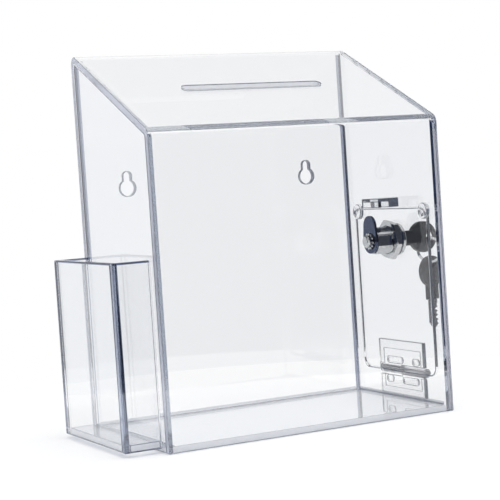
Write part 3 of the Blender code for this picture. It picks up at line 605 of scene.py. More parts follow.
class Workshop:
    """Ways to make, cut and finish meshes."""

    FLAT_DEG = 0.5
    BEVEL_DEG = 40
    SHARP_DEG = 32
    FACE_AREA_WEIGHT = 100

    @staticmethod
    def link(name: str, mesh: bpy.types.Mesh) -> bpy.types.Object:
        """Put a mesh in the scene.

        Args:
            name: Name of the piece.
            mesh: Its mesh.

        Returns:
            The new object.
        """
        obj = bpy.data.objects.new(name, mesh)
        bpy.context.scene.collection.objects.link(obj)
        return obj

    @classmethod
    def plate(
        cls,
        name: str,
        outlines: list[list[Point]],
        thickness: float,
        turn: Turn = Turn.NONE,
        place: Place = ORIGIN,
    ) -> bpy.types.Object:
        """Extrude closed outlines evenly to both sides of their plane.

        Args:
            name: Name of the piece.
            outlines: The edge, then the holes in it.
            thickness: Thickness of the plate.
            turn: How it is laid.
            place: Where its origin goes.

        Returns:
            The new object, with its place in its vertices.
        """
        curve = bpy.data.curves.new(name, "CURVE")
        curve.dimensions = "2D"
        curve.fill_mode = "BOTH"
        curve.extrude = thickness / 2
        for outline in outlines:
            spline = curve.splines.new("POLY")
            spline.points.add(len(outline) - 1)
            for point, spot in zip(spline.points, outline):
                point.co = (spot[0], spot[1], 0, 1)
            spline.use_cyclic_u = True
        drawing = bpy.data.objects.new(name, curve)
        bpy.context.scene.collection.objects.link(drawing)
        graph = bpy.context.evaluated_depsgraph_get()
        mesh = bpy.data.meshes.new_from_object(drawing.evaluated_get(graph))
        bpy.data.objects.remove(drawing, do_unlink=True)
        bpy.data.curves.remove(curve)
        body = bmesh.new()
        body.from_mesh(mesh)
        bmesh.ops.remove_doubles(body, verts=body.verts, dist=MERGE)
        bmesh.ops.dissolve_limit(
            body, angle_limit=math.radians(cls.FLAT_DEG), verts=body.verts, edges=body.edges
        )
        bmesh.ops.recalc_face_normals(body, faces=body.faces)
        body.to_mesh(mesh)
        body.free()
        mesh.transform(Matrix.Translation(place) @ turn.value)
        return cls.link(name, mesh)

    @classmethod
    def skin(
        cls, name: str, rings: list[list[Place]], closed: bool, lay: Matrix = Matrix.Identity(4)
    ) -> bpy.types.Object:
        """Join rings of points, each to the next, into one solid.

        Args:
            name: Name of the piece.
            rings: Rings of equally many points. Points of a ring that coincide become one.
            closed: True where the last ring joins the first one, False where both ends are capped.
            lay: How it is laid in the box.

        Returns:
            The new object, with its place in its vertices.
        """
        body = bmesh.new()
        loops = []
        for ring in rings:
            made = {spot: body.verts.new(spot) for spot in dict.fromkeys(ring)}
            loops.append([made[spot] for spot in ring])
        faces = []
        for first, second in zip(loops, loops[1:] + (loops[:1] if closed else [])):
            for step in range(len(first)):
                following = (step + 1) % len(first)
                faces.append([first[step], second[step], second[following], first[following]])
        faces += [] if closed else [loops[0], loops[-1][::-1]]
        for face in faces:
            corners = list(dict.fromkeys(face))
            if len(corners) > 2:
                body.faces.new(corners)
        bmesh.ops.recalc_face_normals(body, faces=body.faces)
        mesh = bpy.data.meshes.new(name)
        body.to_mesh(mesh)
        body.free()
        mesh.transform(lay)
        return cls.link(name, mesh)

    @classmethod
    def turned(
        cls, name: str, profile: list[Point], turn: Turn = Turn.NONE, place: Place = ORIGIN, steps: int = 64
    ) -> bpy.types.Object:
        """Spin a profile of (radius, height) points about Z.

        Args:
            name: Name of the piece.
            profile: Points from the top down the outer side, the first and the last at radius zero.
            turn: How it is laid.
            place: Where its origin goes.
            steps: Facets round the axis.

        Returns:
            The new object.
        """
        angles = [2 * math.pi * step / steps for step in range(steps)]
        rings = [
            [(radius * math.cos(a), radius * math.sin(a), height) for a in angles]
            for radius, height in profile
        ]
        return cls.skin(name, rings, False, Matrix.Translation(place) @ turn.value)

    @staticmethod
    def apply(obj: bpy.types.Object) -> bpy.types.Object:
        """Replace a mesh with its evaluated shape.

        Args:
            obj: The piece.

        Returns:
            The same object.
        """
        graph = bpy.context.evaluated_depsgraph_get()
        mesh = bpy.data.meshes.new_from_object(obj.evaluated_get(graph))
        obj.modifiers.clear()
        obj.data = mesh
        return obj

    @classmethod
    def combine(cls, obj: bpy.types.Object, tool: bpy.types.Object, operation: str) -> bpy.types.Object:
        """Cut, join or intersect a piece with a tool, and remove the tool.

        Args:
            obj: The piece.
            tool: What works on it.
            operation: DIFFERENCE, UNION or INTERSECT.

        Returns:
            The same object.
        """
        boolean = obj.modifiers.new("boolean", "BOOLEAN")
        boolean.operation = operation
        boolean.solver = "EXACT"
        boolean.object = tool
        cls.apply(obj)
        bpy.data.objects.remove(tool, do_unlink=True)
        return obj

    @classmethod
    def soften(cls, obj: bpy.types.Object, width: float, segments: int = 2) -> bpy.types.Object:
        """Round the sharp edges.

        Args:
            obj: The piece.
            width: Width of the rounding.
            segments: Segments across it.

        Returns:
            The same object.
        """
        bevel = obj.modifiers.new("bevel", "BEVEL")
        bevel.width = width
        bevel.segments = segments
        bevel.limit_method = "ANGLE"
        bevel.angle_limit = math.radians(cls.BEVEL_DEG)
        return cls.apply(obj)

    @classmethod
    def smooth(cls, obj: bpy.types.Object) -> bpy.types.Object:
        """Shade round faces smooth, and keep the flats true and the edges sharp.

        Args:
            obj: The piece.

        Returns:
            The same object.
        """
        obj.data.shade_smooth()
        obj.data.set_sharp_from_angle(angle=math.radians(cls.SHARP_DEG))
        weighted = obj.modifiers.new("weighted", "WEIGHTED_NORMAL")
        weighted.mode = "FACE_AREA"
        weighted.weight = cls.FACE_AREA_WEIGHT
        weighted.keep_sharp = True
        return cls.apply(obj)


def hand_over(obj: bpy.types.Object, body: str, slot: str, finishes: Finishes, *nodes: str) -> None:
    """Give a finished piece its body and its finish, which the record's slot picks unless the piece has its
    own, in place of CAD nodes.

    Args:
        obj: The piece.
        body: Body that it moves with.
        slot: The record's material slot.
        finishes: All materials.
        nodes: CAD nodes that it stands for.
    """
    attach(obj, body)
    if nodes:
        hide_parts(*nodes)
    finishes.dress(obj, slot)


@dataclass(frozen=True)
class Sheets:
    """Sheets of the box: a bent sheet round the edges of two side panels, and a floor.

    Attributes:
        width: Width over the bent sheet.
        depth: Depth over front and back.
        front_height: Height of the sharp front corner.
        back_height: Height of the sharp back corner.
        sheet: Thickness of the bent sheet and the pocket.
        side: Thickness of the side panels and the door.
        floor: Thickness of the floor.
        front_bend: Inner radius of the bend over the front.
        back_bend: Inner radius of the bend over the back.
        glue: Width of the glue line.
        polish: Rounding of the flame-polished edges.
        door_polish: Rounding of the routed edges of the opening and the door.
    """

    width: float = 210 * MM
    depth: float = 122 * MM
    front_height: float = 198.5 * MM
    back_height: float = 256.8 * MM
    sheet: float = 4.5 * MM
    side: float = 4 * MM
    floor: float = 4 * MM
    front_bend: float = 2.5 * MM
    back_bend: float = 0.8 * MM
    glue: float = 0.2 * MM
    polish: float = 0.5 * MM
    door_polish: float = 0.6 * MM

    @property
    def slope(self) -> float:
        """Angle of the sloping top in radians."""
        return math.atan2(self.back_height - self.front_height, self.depth)

    def profile(self, inset: float) -> list[Point]:
        """Return the side outline in Y and Z, from front bottom over the top to back bottom.

        Args:
            inset: How far it lies inside the box's outside.

        Returns:
            Points in order.
        """
        drop = inset / math.cos(self.slope)
        front = -self.depth / 2 + inset
        back = self.depth / 2 - inset
        front_top = self.front_height + inset * math.tan(self.slope) - drop
        back_top = self.back_height - inset * math.tan(self.slope) - drop
        corners = [(front, 0), (front, front_top), (back, back_top), (back, 0)]
        return [
            corners[0],
            *fillet(corners[0], corners[1], corners[2], self.front_bend + self.sheet - inset, 24),
            *fillet(corners[1], corners[2], corners[3], self.back_bend + self.sheet - inset, 16),
            corners[3],
        ]


@dataclass(frozen=True)
class BentSheet:
    """Front, slope and back, one sheet bent twice, with the paper slot and the keyholes.

    Attributes:
        sheets: Sizes of all sheets.
        slot_length: Length of the paper slot.
        slot_width: Width of the paper slot.
        keyhole_spacing: Distance between the keyholes.
        keyhole_height: Height of their round part.
        keyhole_diameter: Diameter of the round part.
        keyhole_neck: Width of the neck.
        keyhole_reach: How far the neck goes up.
        slot_zone: Half sizes of the place round the slot.
        keyhole_zone: Half sizes of the place round a keyhole.
        outline_deg: How far a face of a hole's rim leans, where its painted grey shade goes.
        wall_deg: How far a face of a hole's wall leans.
    """

    sheets: Sheets
    slot_length: float = 104 * MM
    slot_width: float = 7 * MM
    keyhole_spacing: float = 137 * MM
    keyhole_height: float = 163.7 * MM
    keyhole_diameter: float = 11 * MM
    keyhole_neck: float = 5.5 * MM
    keyhole_reach: float = 8.5 * MM
    slot_zone: Place = (60 * MM, 20 * MM, 30 * MM)
    keyhole_zone: Place = (9 * MM, 10 * MM, 16 * MM)
    outline_deg: float = 8
    wall_deg: float = 80

    @property
    def slot_z(self) -> float:
        """Height of the slot's middle."""
        sheets = self.sheets
        return (sheets.front_height + sheets.back_height) / 2 - sheets.sheet / 2 / math.cos(sheets.slope)

    def keyhole_place(self, side: int, y: float) -> Place:
        """Return the middle of a keyhole's round part, from its side and its place along Y."""
        return (side * self.keyhole_spacing / 2, y, self.keyhole_height)

    def keyhole(self) -> list[Point]:
        """Return the outline of a round hole with a neck above it.

        Returns:
            Points in order.
        """
        radius = self.keyhole_diameter / 2
        half = self.keyhole_neck / 2
        angle = math.asin(half / radius)
        low = arc((0, 0), radius, math.pi / 2 + angle, math.pi * 5 / 2 - angle, 36)
        high = arc((0, self.keyhole_reach), half, 0, math.pi, 16)
        return low + high

    def build(self) -> bpy.types.Object:
        """Return the bent sheet.

        Returns:
            The new object.
        """
        sheets = self.sheets
        outline = sheets.profile(0) + sheets.profile(sheets.sheet)[::-1]
        wrap = Workshop.plate("bent_sheet", [outline], sheets.width, Turn.ACROSS_X)
        slot = Workshop.plate("slot", [stadium(self.slot_length, self.slot_width)], 3 * sheets.sheet)
        slot.data.transform(Matrix.Translation((0, 0, self.slot_z)) @ Matrix.Rotation(sheets.slope, 4, "X"))
        Workshop.combine(wrap, slot, "DIFFERENCE")
        for side in (-1, 1):
            place = self.keyhole_place(side, (sheets.depth - sheets.sheet) / 2)
            hole = Workshop.plate("keyhole", [self.keyhole()], 3 * sheets.sheet, Turn.ACROSS_Y, place)
            Workshop.combine(wrap, hole, "DIFFERENCE")
        Workshop.soften(wrap, sheets.polish)
        return Workshop.smooth(wrap)

    def dress(self, finishes: Finishes) -> None:
        """Build the sheet and hand it over.

        Args:
            finishes: All materials.
        """
        wrap = self.build()
        hand_over(wrap, "box", "clear_acrylic", finishes, "body_wrap")
        sheets = self.sheets
        finishes.dress_ends(wrap, Edge.SAWN, (0, 0, -1))
        finishes.dress_ends(wrap, Edge.PLANED, (-1, 0, 0), (1, 0, 0))
        square = Vector((0, -math.sin(sheets.slope), math.cos(sheets.slope)))
        holes = [(Edge.SAWN, square, (0, 0, self.slot_z), self.slot_zone)]
        for side in (-1, 1):
            place = self.keyhole_place(side, sheets.depth / 2)
            holes.append((Edge.ROUTED, Vector((0, 1, 0)), place, self.keyhole_zone))
        # Rims and walls of the holes take grey tints: painted shade that outlines them
        for edge, flat, middle, half in holes:
            zone = (Vector(middle) - Vector(half), Vector(middle) + Vector(half))
            finishes.dress_edges(wrap, Edge.OUTLINE, flat, zone, self.outline_deg)
            finishes.dress_edges(wrap, edge, flat, zone, self.wall_deg)


@dataclass(frozen=True)
class SidePanels:
    """Left and right panels let in behind the bent sheet, the door opening, the door and the floor.

    Attributes:
        sheets: Sizes of all sheets.
        opening_margin: Distance from the door opening to the box's front and back.
        opening_bottom: Height of the opening's lower edge.
        opening_top: Height of its upper edge.
        opening_corner: Radius of its corners.
        door_gap: Gap round the door.
        lock_hole: Diameter of the lock's hole.
        lock_hole_flats: Distance between its two flats.
        routed_deg: How far a face of a routed edge leans.
    """

    sheets: Sheets
    opening_margin: float = 14.3 * MM
    opening_bottom: float = 21.7 * MM
    opening_top: float = 138 * MM
    opening_corner: float = 7 * MM
    door_gap: float = 0.7 * MM
    lock_hole: float = 19.6 * MM
    lock_hole_flats: float = 17.2 * MM
    routed_deg: float = 5

    def opening(self, inset: float) -> list[Point]:
        """Return the door opening's outline in Y and Z.

        Args:
            inset: Gap kept inside the opening.

        Returns:
            Points in order.
        """
        half = self.sheets.depth / 2 - self.opening_margin - inset
        low = self.opening_bottom + inset
        high = self.opening_top - inset
        corners = [(-half, low), (half, low), (half, high), (-half, high)]
        return rounded(corners, self.opening_corner - inset, 16)

    def two_flats(self) -> list[Point]:
        """Return the lock's hole in Y and Z, round with a flat to each side.

        Returns:
            Points in order.
        """
        radius = self.lock_hole / 2
        angle = math.acos(self.lock_hole_flats / 2 / radius)
        upper = arc((LOCK_Y, LOCK_Z), radius, angle, math.pi - angle, 24)
        lower = arc((LOCK_Y, LOCK_Z), radius, math.pi + angle, 2 * math.pi - angle, 24)
        return upper + lower

    def panel(self, name: str, outlines: list[list[Point]], side: int, polish: float) -> bpy.types.Object:
        """Return one upright sheet in the plane of a side.

        Args:
            name: Name of the piece.
            outlines: Its edge, then its holes.
            side: -1 for the left side, 1 for the right one.
            polish: Rounding of its edges.

        Returns:
            The new object.
        """
        sheets = self.sheets
        place = (side * (sheets.width - sheets.side) / 2, 0, 0)
        panel = Workshop.plate(name, outlines, sheets.side, Turn.ACROSS_X, place)
        Workshop.soften(panel, polish)
        return Workshop.smooth(panel)

    def floor(self) -> bpy.types.Object:
        """Return the floor panel.

        Returns:
            The new object.
        """
        sheets = self.sheets
        half_width = sheets.width / 2 - sheets.side - sheets.glue
        half_depth = sheets.depth / 2 - sheets.sheet - sheets.glue
        outline = rectangle(-half_width, half_width, -half_depth, half_depth)
        floor = Workshop.plate("floor", [outline], sheets.floor, Turn.NONE, (0, 0, sheets.floor / 2))
        return Workshop.smooth(Workshop.soften(floor, sheets.polish))

    def dress(self, finishes: Finishes) -> None:
        """Build the panels, the floor and the door and hand them over.

        Args:
            finishes: All materials.
        """
        slot, down, across = "clear_acrylic", (0, 0, -1), Vector((1, 0, 0))
        sheets, polish = self.sheets, self.sheets.door_polish
        edge = sheets.profile(sheets.sheet + sheets.glue)
        left = self.panel("left_side", [edge], -1, sheets.polish)
        hand_over(left, "box", slot, finishes, "left_side_panel")
        finishes.dress_ends(left, Edge.SAWN, down)
        right = self.panel("right_side", [edge, self.opening(0)], 1, polish)
        hand_over(right, "box", slot, finishes, "right_side_panel")
        finishes.dress_ends(right, Edge.SAWN, down)
        door = self.panel("door", [self.opening(self.door_gap), self.two_flats()], 1, polish)
        hand_over(door, "door", slot, finishes, "door_panel")
        half = sheets.depth / 2 - self.opening_margin
        upper_edge = (
            Vector((0, -half, self.opening_top - self.opening_corner / 3)),
            Vector((sheets.width, half, self.opening_top + sheets.sheet)),
        )
        # The upper edges of the opening and the door take the routed finish, whose grey is painted shade
        for sheet in (right, door):
            finishes.dress_edges(sheet, Edge.ROUTED, across, upper_edge, self.routed_deg)
        floor = self.floor()
        hand_over(floor, "box", slot, finishes, "floor_panel")
        finishes.dress_edges(floor, Edge.SAWN, Vector((0, 0, 1)))


@dataclass(frozen=True)
class CementBeads:
    """Hollow beads of cement in the inside corners, and a film in one joint, both guessed at: the beads' grey
    tint is painted shade along the corners, the film's milky lilac painted pale light in the joint.

    Attributes:
        sheets: Sizes of all sheets.
        leg: Width of a bead on each of its two sheets.
        gap: Gap kept to the sheets, so that the faces don't fight.
        film_width: Width of the film in the right front joint, from the box's side; the film paints pale
            light.
        film: Thickness of the film.
    """

    sheets: Sheets
    leg: float = 2.2 * MM
    gap: float = 0.1 * MM
    film_width: float = 1.7 * MM
    film: float = 0.1 * MM

    def outline(self, corner: Point, across: int, up: int) -> list[Point]:
        """Return a bead's section.

        Args:
            corner: Inside corner that it fills.
            across: Side on which the box is, first coordinate.
            up: Side on which the box is, second coordinate.

        Returns:
            Points in order.
        """
        first, second = corner[0] + across * self.gap, corner[1] + up * self.gap
        quarter = arc((0, 0), self.leg, 0, math.pi / 2, 8)
        hollow = [(first + across * (self.leg - y), second + up * (self.leg - x)) for x, y in quarter]
        return [(first, second)] + hollow

    def dress(self, finishes: Finishes) -> None:
        """Lay the beads and hand them over.

        Args:
            finishes: All materials.
        """
        sheets = self.sheets
        side = sheets.width / 2 - sheets.side
        back = sheets.depth / 2 - sheets.sheet
        low, high = sheets.floor + self.gap, sheets.back_height - 2 * sheets.sheet
        end = self.leg + 3 * self.gap
        upright, middle = high - low, (0, 0, (low + high) / 2)
        wide, deep = 2 * (side - end), 2 * (back - end)
        floor = sheets.floor
        beads = (
            ("bead_back_right", (side, back), -1, -1, upright, Turn.NONE, middle),
            ("bead_back_left", (-side, back), 1, -1, upright, Turn.NONE, middle),
            ("bead_floor_back", (back, floor), -1, 1, wide, Turn.ACROSS_X, ORIGIN),
            ("bead_floor_right", (side, floor), -1, 1, deep, Turn.ACROSS_Y, ORIGIN),
            ("bead_floor_left", (-side, floor), 1, 1, deep, Turn.ACROSS_Y, ORIGIN),
        )
        for name, corner, across, up, length, turn, place in beads:
            bead = Workshop.plate(name, [self.outline(corner, across, up)], length, turn, place)
            hand_over(Workshop.smooth(bead), "box", "clear_acrylic", finishes)
        outer, joint = sheets.width / 2 - self.gap, -back + sheets.glue / 2
        strip = rectangle(outer - self.film_width, outer, joint - self.film / 2, joint + self.film / 2)
        height = sheets.front_height - 2 * sheets.sheet
        film = Workshop.plate("cement_film", [strip], height, Turn.NONE, (0, 0, height / 2 + self.gap))
        hand_over(film, "box", "clear_acrylic", finishes)


@dataclass(frozen=True)
class Pocket:
    """Pocket for forms on the left side: an outer wall and a floor between two cross walls.

    Attributes:
        sheets: Sizes of all sheets.
        reach: How far it stands out.
        bottom: Height of its underside.
        top: Height of its rim.
        front_setback: Distance from the box's front to the pocket's.
        back_setback: Distance from the box's back to the pocket's.
        rim: Rounding of the flame-polished rim, which bulges more than the other edges.
        rim_deg: How far a face of the rim leans.
    """

    sheets: Sheets
    reach: float = 25 * MM
    bottom: float = 2.5 * MM
    top: float = 119 * MM
    front_setback: float = 9.8 * MM
    back_setback: float = 8.5 * MM
    rim: float = 1.3 * MM
    rim_deg: float = 3

    def slab(self, name: str, low: Place, high: Place) -> bpy.types.Object:
        """Return one straight sheet with polished edges and a rounded rim.

        Args:
            name: Name of the piece.
            low: Its lowest corner.
            high: Its highest corner.

        Returns:
            The new object.
        """
        across = 0 if high[0] - low[0] < high[1] - low[1] else 1
        along = 1 - across
        corners = rectangle(low[across], high[across], low[2], high[2])
        outline = corners
        if high[2] == self.top:
            right_top = fillet(corners[1], corners[2], corners[3], self.rim, 10)
            left_top = fillet(corners[2], corners[3], corners[0], self.rim, 10)
            outline = corners[:2] + right_top + left_top
        middle = (low[along] + high[along]) / 2
        turn, place = (Turn.ACROSS_Y, (0, middle, 0)) if along else (Turn.ACROSS_X, (middle, 0, 0))
        slab = Workshop.plate(name, [outline], high[along] - low[along], turn, place)
        return Workshop.smooth(Workshop.soften(slab, self.sheets.polish))

    def dress(self, finishes: Finishes) -> None:
        """Build the four sheets and hand them over.

        Args:
            finishes: All materials.
        """
        sheet = self.sheets.sheet
        glue = self.sheets.glue
        near = -self.sheets.width / 2 - glue
        far = -self.sheets.width / 2 - self.reach
        front = -self.sheets.depth / 2 + self.front_setback
        back = self.sheets.depth / 2 - self.back_setback
        start = front + sheet + glue
        end = back - sheet - glue
        pieces = {
            "pocket_front_wall": ((far, front, self.bottom), (near, front + sheet, self.top)),
            "pocket_back_wall": ((far, back - sheet, self.bottom), (near, back, self.top)),
            "pocket_outer_wall": ((far, start, self.bottom), (far + sheet, end, self.top)),
            "pocket_floor": ((far + sheet + glue, start, self.bottom), (near, end, self.bottom + sheet)),
        }
        reach = self.sheets.width
        rim_zone = (
            Vector((-reach, -reach, self.top - 1.5 * self.rim)),
            Vector((reach, reach, self.top + self.rim)),
        )
        for node, (low, high) in pieces.items():
            slab = self.slab(node.replace("pocket", "pocket_sheet"), low, high)
            hand_over(slab, "box", "clear_acrylic", finishes, node)
            if node == "pocket_floor":
                finishes.dress_ends(slab, Edge.SAWN, (0, -1, 0), (0, 1, 0), (-1, 0, 0))
                continue
            flat = Vector((1, 0, 0)) if node == "pocket_outer_wall" else Vector((0, 1, 0))
            # The pocket's ends and rim take blue tints: painted shade for the navy outlines along its edges
            finishes.dress_edges(slab, Edge.END, flat)
            finishes.dress_ends(slab, Edge.SAWN, (0, 0, -1))
            finishes.dress_edges(slab, Edge.RIM, flat, rim_zone, self.rim_deg)


@dataclass(frozen=True)
class DoorStops:
    """Clear buttons inside the right panel, which the door's upper corners close against.

    Attributes:
        face_x: The panel's inner face.
        front_y: Middle of the front button.
        rear_y: Middle of the rear one.
        height: Height of both.
        diameter: Diameter.
        thickness: Thickness.
        rounding: Rounding of the rim.
        dish: Depth of the dished face.
    """

    face_x: float = 100.8 * MM
    front_y: float = -45.1 * MM
    rear_y: float = 39.7 * MM
    height: float = 135.4 * MM
    diameter: float = 11 * MM
    thickness: float = 2.6 * MM
    rounding: float = 0.9 * MM
    dish: float = 0.7 * MM

    def profile(self) -> list[Point]:
        """Return the button's profile, from the middle of its dished face to its seat.

        Returns:
            Points in order.
        """
        radius = self.diameter / 2
        top = self.thickness
        rim = arc((radius - self.rounding, top - self.rounding), self.rounding, math.pi / 2, 0, 8)
        dish_shares = (0.2, 0.4, 0.56, 0.66)
        dished = [
            (radius * share, top - self.dish * (1 - (share / dish_shares[-1]) ** 2)) for share in dish_shares
        ]
        return [(0, top - self.dish), *dished, *rim, (radius, 0), (0, 0)]

    def dress(self, finishes: Finishes) -> None:
        """Build both buttons and hand them over.

        Args:
            finishes: All materials.
        """
        for node, y in (("door_stop_front", self.front_y), ("door_stop_rear", self.rear_y)):
            place = (self.face_x, y, self.height)
            button = Workshop.turned(node.replace("stop", "button"), self.profile(), Turn.AGAINST_X, place)
            hand_over(Workshop.smooth(button), "box", "clear_moulding", finishes, node)


@dataclass(frozen=True)
class Catch:
    """Clear channel over the door opening, which the cam turns up behind.

    Attributes:
        inner_x: Face of the lip on the cam's side.
        outer_x: Face of the foot on the panel's side.
        bottom: Height of its lower edges.
        height: Height.
        top_thickness: Thickness of the web over the channel.
        lip_thickness: Thickness of the lip.
        foot_thickness: Thickness of the foot.
        length: Length along the box's depth.
        middle_y: Middle of that length.
        rounding: Rounding of the moulded edges.
    """

    inner_x: float = 84.3 * MM
    outer_x: float = 100.8 * MM
    bottom: float = 138.6 * MM
    height: float = 6.4 * MM
    top_thickness: float = 2 * MM
    lip_thickness: float = 2.4 * MM
    foot_thickness: float = 8 * MM
    length: float = 22 * MM
    middle_y: float = -2 * MM
    rounding: float = 0.5 * MM

    def dress(self, finishes: Finishes) -> None:
        """Build the channel and hand it over.

        Args:
            finishes: All materials.
        """
        top = self.bottom + self.height
        under = top - self.top_thickness
        lip = self.inner_x + self.lip_thickness
        foot = self.outer_x - self.foot_thickness
        outline = [
            (self.inner_x, self.bottom), (lip, self.bottom), (lip, under), (foot, under),
            (foot, self.bottom), (self.outer_x, self.bottom), (self.outer_x, top), (self.inner_x, top),
        ]
        catch = Workshop.plate("catch_channel", [outline], self.length, Turn.ACROSS_Y, (0, self.middle_y, 0))
        Workshop.soften(catch, self.rounding, 3)
        hand_over(Workshop.smooth(catch), "box", "clear_moulding", finishes, "catch_bracket")
        # Its side walls take a grey tint: painted shade that outlines the channel
        finishes.dress_edges(catch, Edge.WALL, Vector((1, 0, 0)), lean_deg=MOULDED_WALL_DEG)


@dataclass(frozen=True)
class Hinge:
    """Moulded hinge under the door: two ribbed leaves with half a knuckle each, and a steel pin.

    Attributes:
        length: Length along the box's depth.
        plate_x: Face of the leaves on the panel's side.
        plate: Thickness of a leaf.
        axis_x: Place of the pin across the box.
        axis_z: Height of the pin.
        top: Height of the upper leaf's edge.
        bottom: Height of the lower leaf's edge.
        knuckle: Radius of the knuckles.
        gap: Running gap round the knuckles and the pin.
        rim_height: How far the rim stands off the plate.
        rim_end: Width of the rim along the outer edge.
        rim_side: Width of the rim at both ends.
        boss_width: Width of the oval bosses.
        boss_height: How far they stand off the plate.
        boss_wall: Wall round their groove.
        groove_depth: Depth of the groove.
        pin: Radius of the pin.
        pin_head: Radius of its heads.
        pin_head_height: Height of a head.
        bosses: Place of each boss from the leaf's middle towards its own knuckle, and its length.
        boss_rise: Middle of the bosses over the start of the leaf's rim.
        edge: Rounding of the knuckle's ends.
        moulded_edges: Roundings of plate, rim and bosses.
    """

    length: float = 56 * MM
    plate_x: float = 105.3 * MM
    plate: float = 2 * MM
    axis_x: float = 108.35 * MM
    axis_z: float = 22.05 * MM
    top: float = 43.5 * MM
    bottom: float = 3 * MM
    knuckle: float = 3.2 * MM
    gap: float = 0.3 * MM
    rim_height: float = 0.9 * MM
    rim_end: float = 6.6 * MM
    rim_side: float = 4.6 * MM
    boss_width: float = 5.2 * MM
    boss_height: float = 1.4 * MM
    boss_wall: float = 1.2 * MM
    groove_depth: float = 0.8 * MM
    pin: float = 1.5 * MM
    pin_head: float = 2.5 * MM
    pin_head_height: float = 1.4 * MM
    bosses: tuple[Point, ...] = ((9.5 * MM, 20 * MM), (-17 * MM, 8.6 * MM))
    boss_rise: float = 3.1 * MM
    edge: float = 0.5 * MM
    moulded_edges: Place = (0.35 * MM, 0.3 * MM, 0.4 * MM)

    def raised(self, outline: list[Point], height: float, rounding: float) -> bpy.types.Object:
        """Return a relief that stands off the leaves' outer face and reaches down into the plate.

        Args:
            outline: Its outline in Y and Z from the pin's axis.
            height: How far it stands off.
            rounding: Rounding of its edge.

        Returns:
            The new object.
        """
        root = self.plate * 0.6
        middle = self.plate_x + self.plate + (height - root) / 2
        relief = Workshop.plate("relief", [outline], height + root, Turn.ACROSS_X, (middle, 0, self.axis_z))
        return Workshop.soften(relief, rounding, 2)

    def leaf(self, name: str, side: int) -> bpy.types.Object:
        """Return one leaf with its half of the knuckle.

        Args:
            name: Name of the piece.
            side: 1 for the leaf over the pin, on the door, and -1 for the one under it.

        Returns:
            The new object.
        """
        half = self.length / 2
        relief = self.knuckle + 2 * self.gap
        end = self.top - self.axis_z if side > 0 else self.axis_z - self.bottom
        near = side * self.gap / 2
        outline = [
            (near, 0), (side * half, 0), (side * half, side * end),
            (-side * half, side * end), (-side * half, side * relief), (near, side * relief),
        ]
        middle = (self.plate_x + self.plate / 2, 0, self.axis_z)
        leaf = Workshop.plate(name, [outline], self.plate, Turn.ACROSS_X, middle)
        plate_edge, rim_edge, boss_edge = self.moulded_edges
        Workshop.soften(leaf, plate_edge)
        side_end = half - self.rim_side
        inner_end = end - self.rim_end
        rim = [
            (-half, side * relief), (-half, side * end), (half, side * end), (half, side * relief),
            (side_end, side * relief), (side_end, side * inner_end), (-side_end, side * inner_end),
            (-side_end, side * relief),
        ]
        Workshop.combine(leaf, self.raised(rim, self.rim_height, rim_edge), "UNION")
        ends = (half - self.gap / 2) / 2
        inner = self.knuckle - self.edge
        profile = [
            (0, ends), (inner, ends), (self.knuckle, ends - self.edge),
            (self.knuckle, self.edge - ends), (inner, -ends), (0, -ends),
        ]
        place = (self.axis_x, side * (self.gap / 2 + ends), self.axis_z)
        Workshop.combine(leaf, Workshop.turned("knuckle", profile, Turn.ALONG_Y, place), "UNION")
        wall = 2 * self.boss_wall
        z = side * (relief + self.boss_rise)
        place = (self.plate_x + self.plate + self.boss_height, 0, self.axis_z)
        for from_middle, long in self.bosses:
            y = side * from_middle
            outer, inner = (
                [(y + point[0], z + point[1]) for point in stadium(long - less, self.boss_width - less)]
                for less in (0, wall)
            )
            Workshop.combine(leaf, self.raised(outer, self.boss_height, boss_edge), "UNION")
            groove = Workshop.plate("groove", [inner], 2 * self.groove_depth, Turn.ACROSS_X, place)
            Workshop.combine(leaf, groove, "DIFFERENCE")
        bore, over = self.pin + self.gap, half + 3 * self.gap
        drill = [(0, over), (bore, over), (bore, -over), (0, -over)]
        axis = (self.axis_x, 0, self.axis_z)
        Workshop.combine(leaf, Workshop.turned("drill", drill, Turn.ALONG_Y, axis), "DIFFERENCE")
        return Workshop.smooth(leaf)

    def build_pin(self) -> bpy.types.Object:
        """Return the pin with its two domed heads.

        Returns:
            The new object.
        """
        seat = self.length / 2 + self.gap
        dome = [
            (self.pin_head * math.sin(a), seat + self.pin_head_height * (0.3 + 0.7 * math.cos(a)))
            for a in (math.pi / 2 * step / 6 for step in range(7))
        ]
        lower = [(radius, -height) for radius, height in dome[::-1]]
        profile = [
            *dome, (self.pin_head, seat), (self.pin, seat), (self.pin, -seat), (self.pin_head, -seat), *lower,
        ]
        place = (self.axis_x, 0, self.axis_z)
        return Workshop.smooth(Workshop.turned("steel_pin", profile, Turn.ALONG_Y, place))

    def dress(self, finishes: Finishes) -> None:
        """Build both leaves and the pin and hand them over.

        Args:
            finishes: All materials.
        """
        slot = "clear_moulding"
        lower, upper = self.leaf("lower_leaf", -1), self.leaf("upper_leaf", 1)
        hand_over(lower, "box", slot, finishes, "hinge_wall_leaf")
        hand_over(upper, "door", slot, finishes, "hinge_door_leaf")
        across = Vector((1, 0, 0))
        over = Vector((0, -1, self.axis_z + 1.15 * self.knuckle))
        under = Vector((1, 1, self.axis_z - 1.15 * self.knuckle))
        # Side walls and knuckles take a grey tint: painted shade that outlines the leaves and shades the
        # knuckles
        finishes.dress_edges(upper, Edge.WALL, across, (over, Vector((1, 1, 1))), MOULDED_WALL_DEG)
        finishes.dress_edges(lower, Edge.WALL, across, (Vector((0, -1, -1)), under), MOULDED_WALL_DEG)
        hand_over(self.build_pin(), "box", "plated_steel", finishes, "hinge_pin")


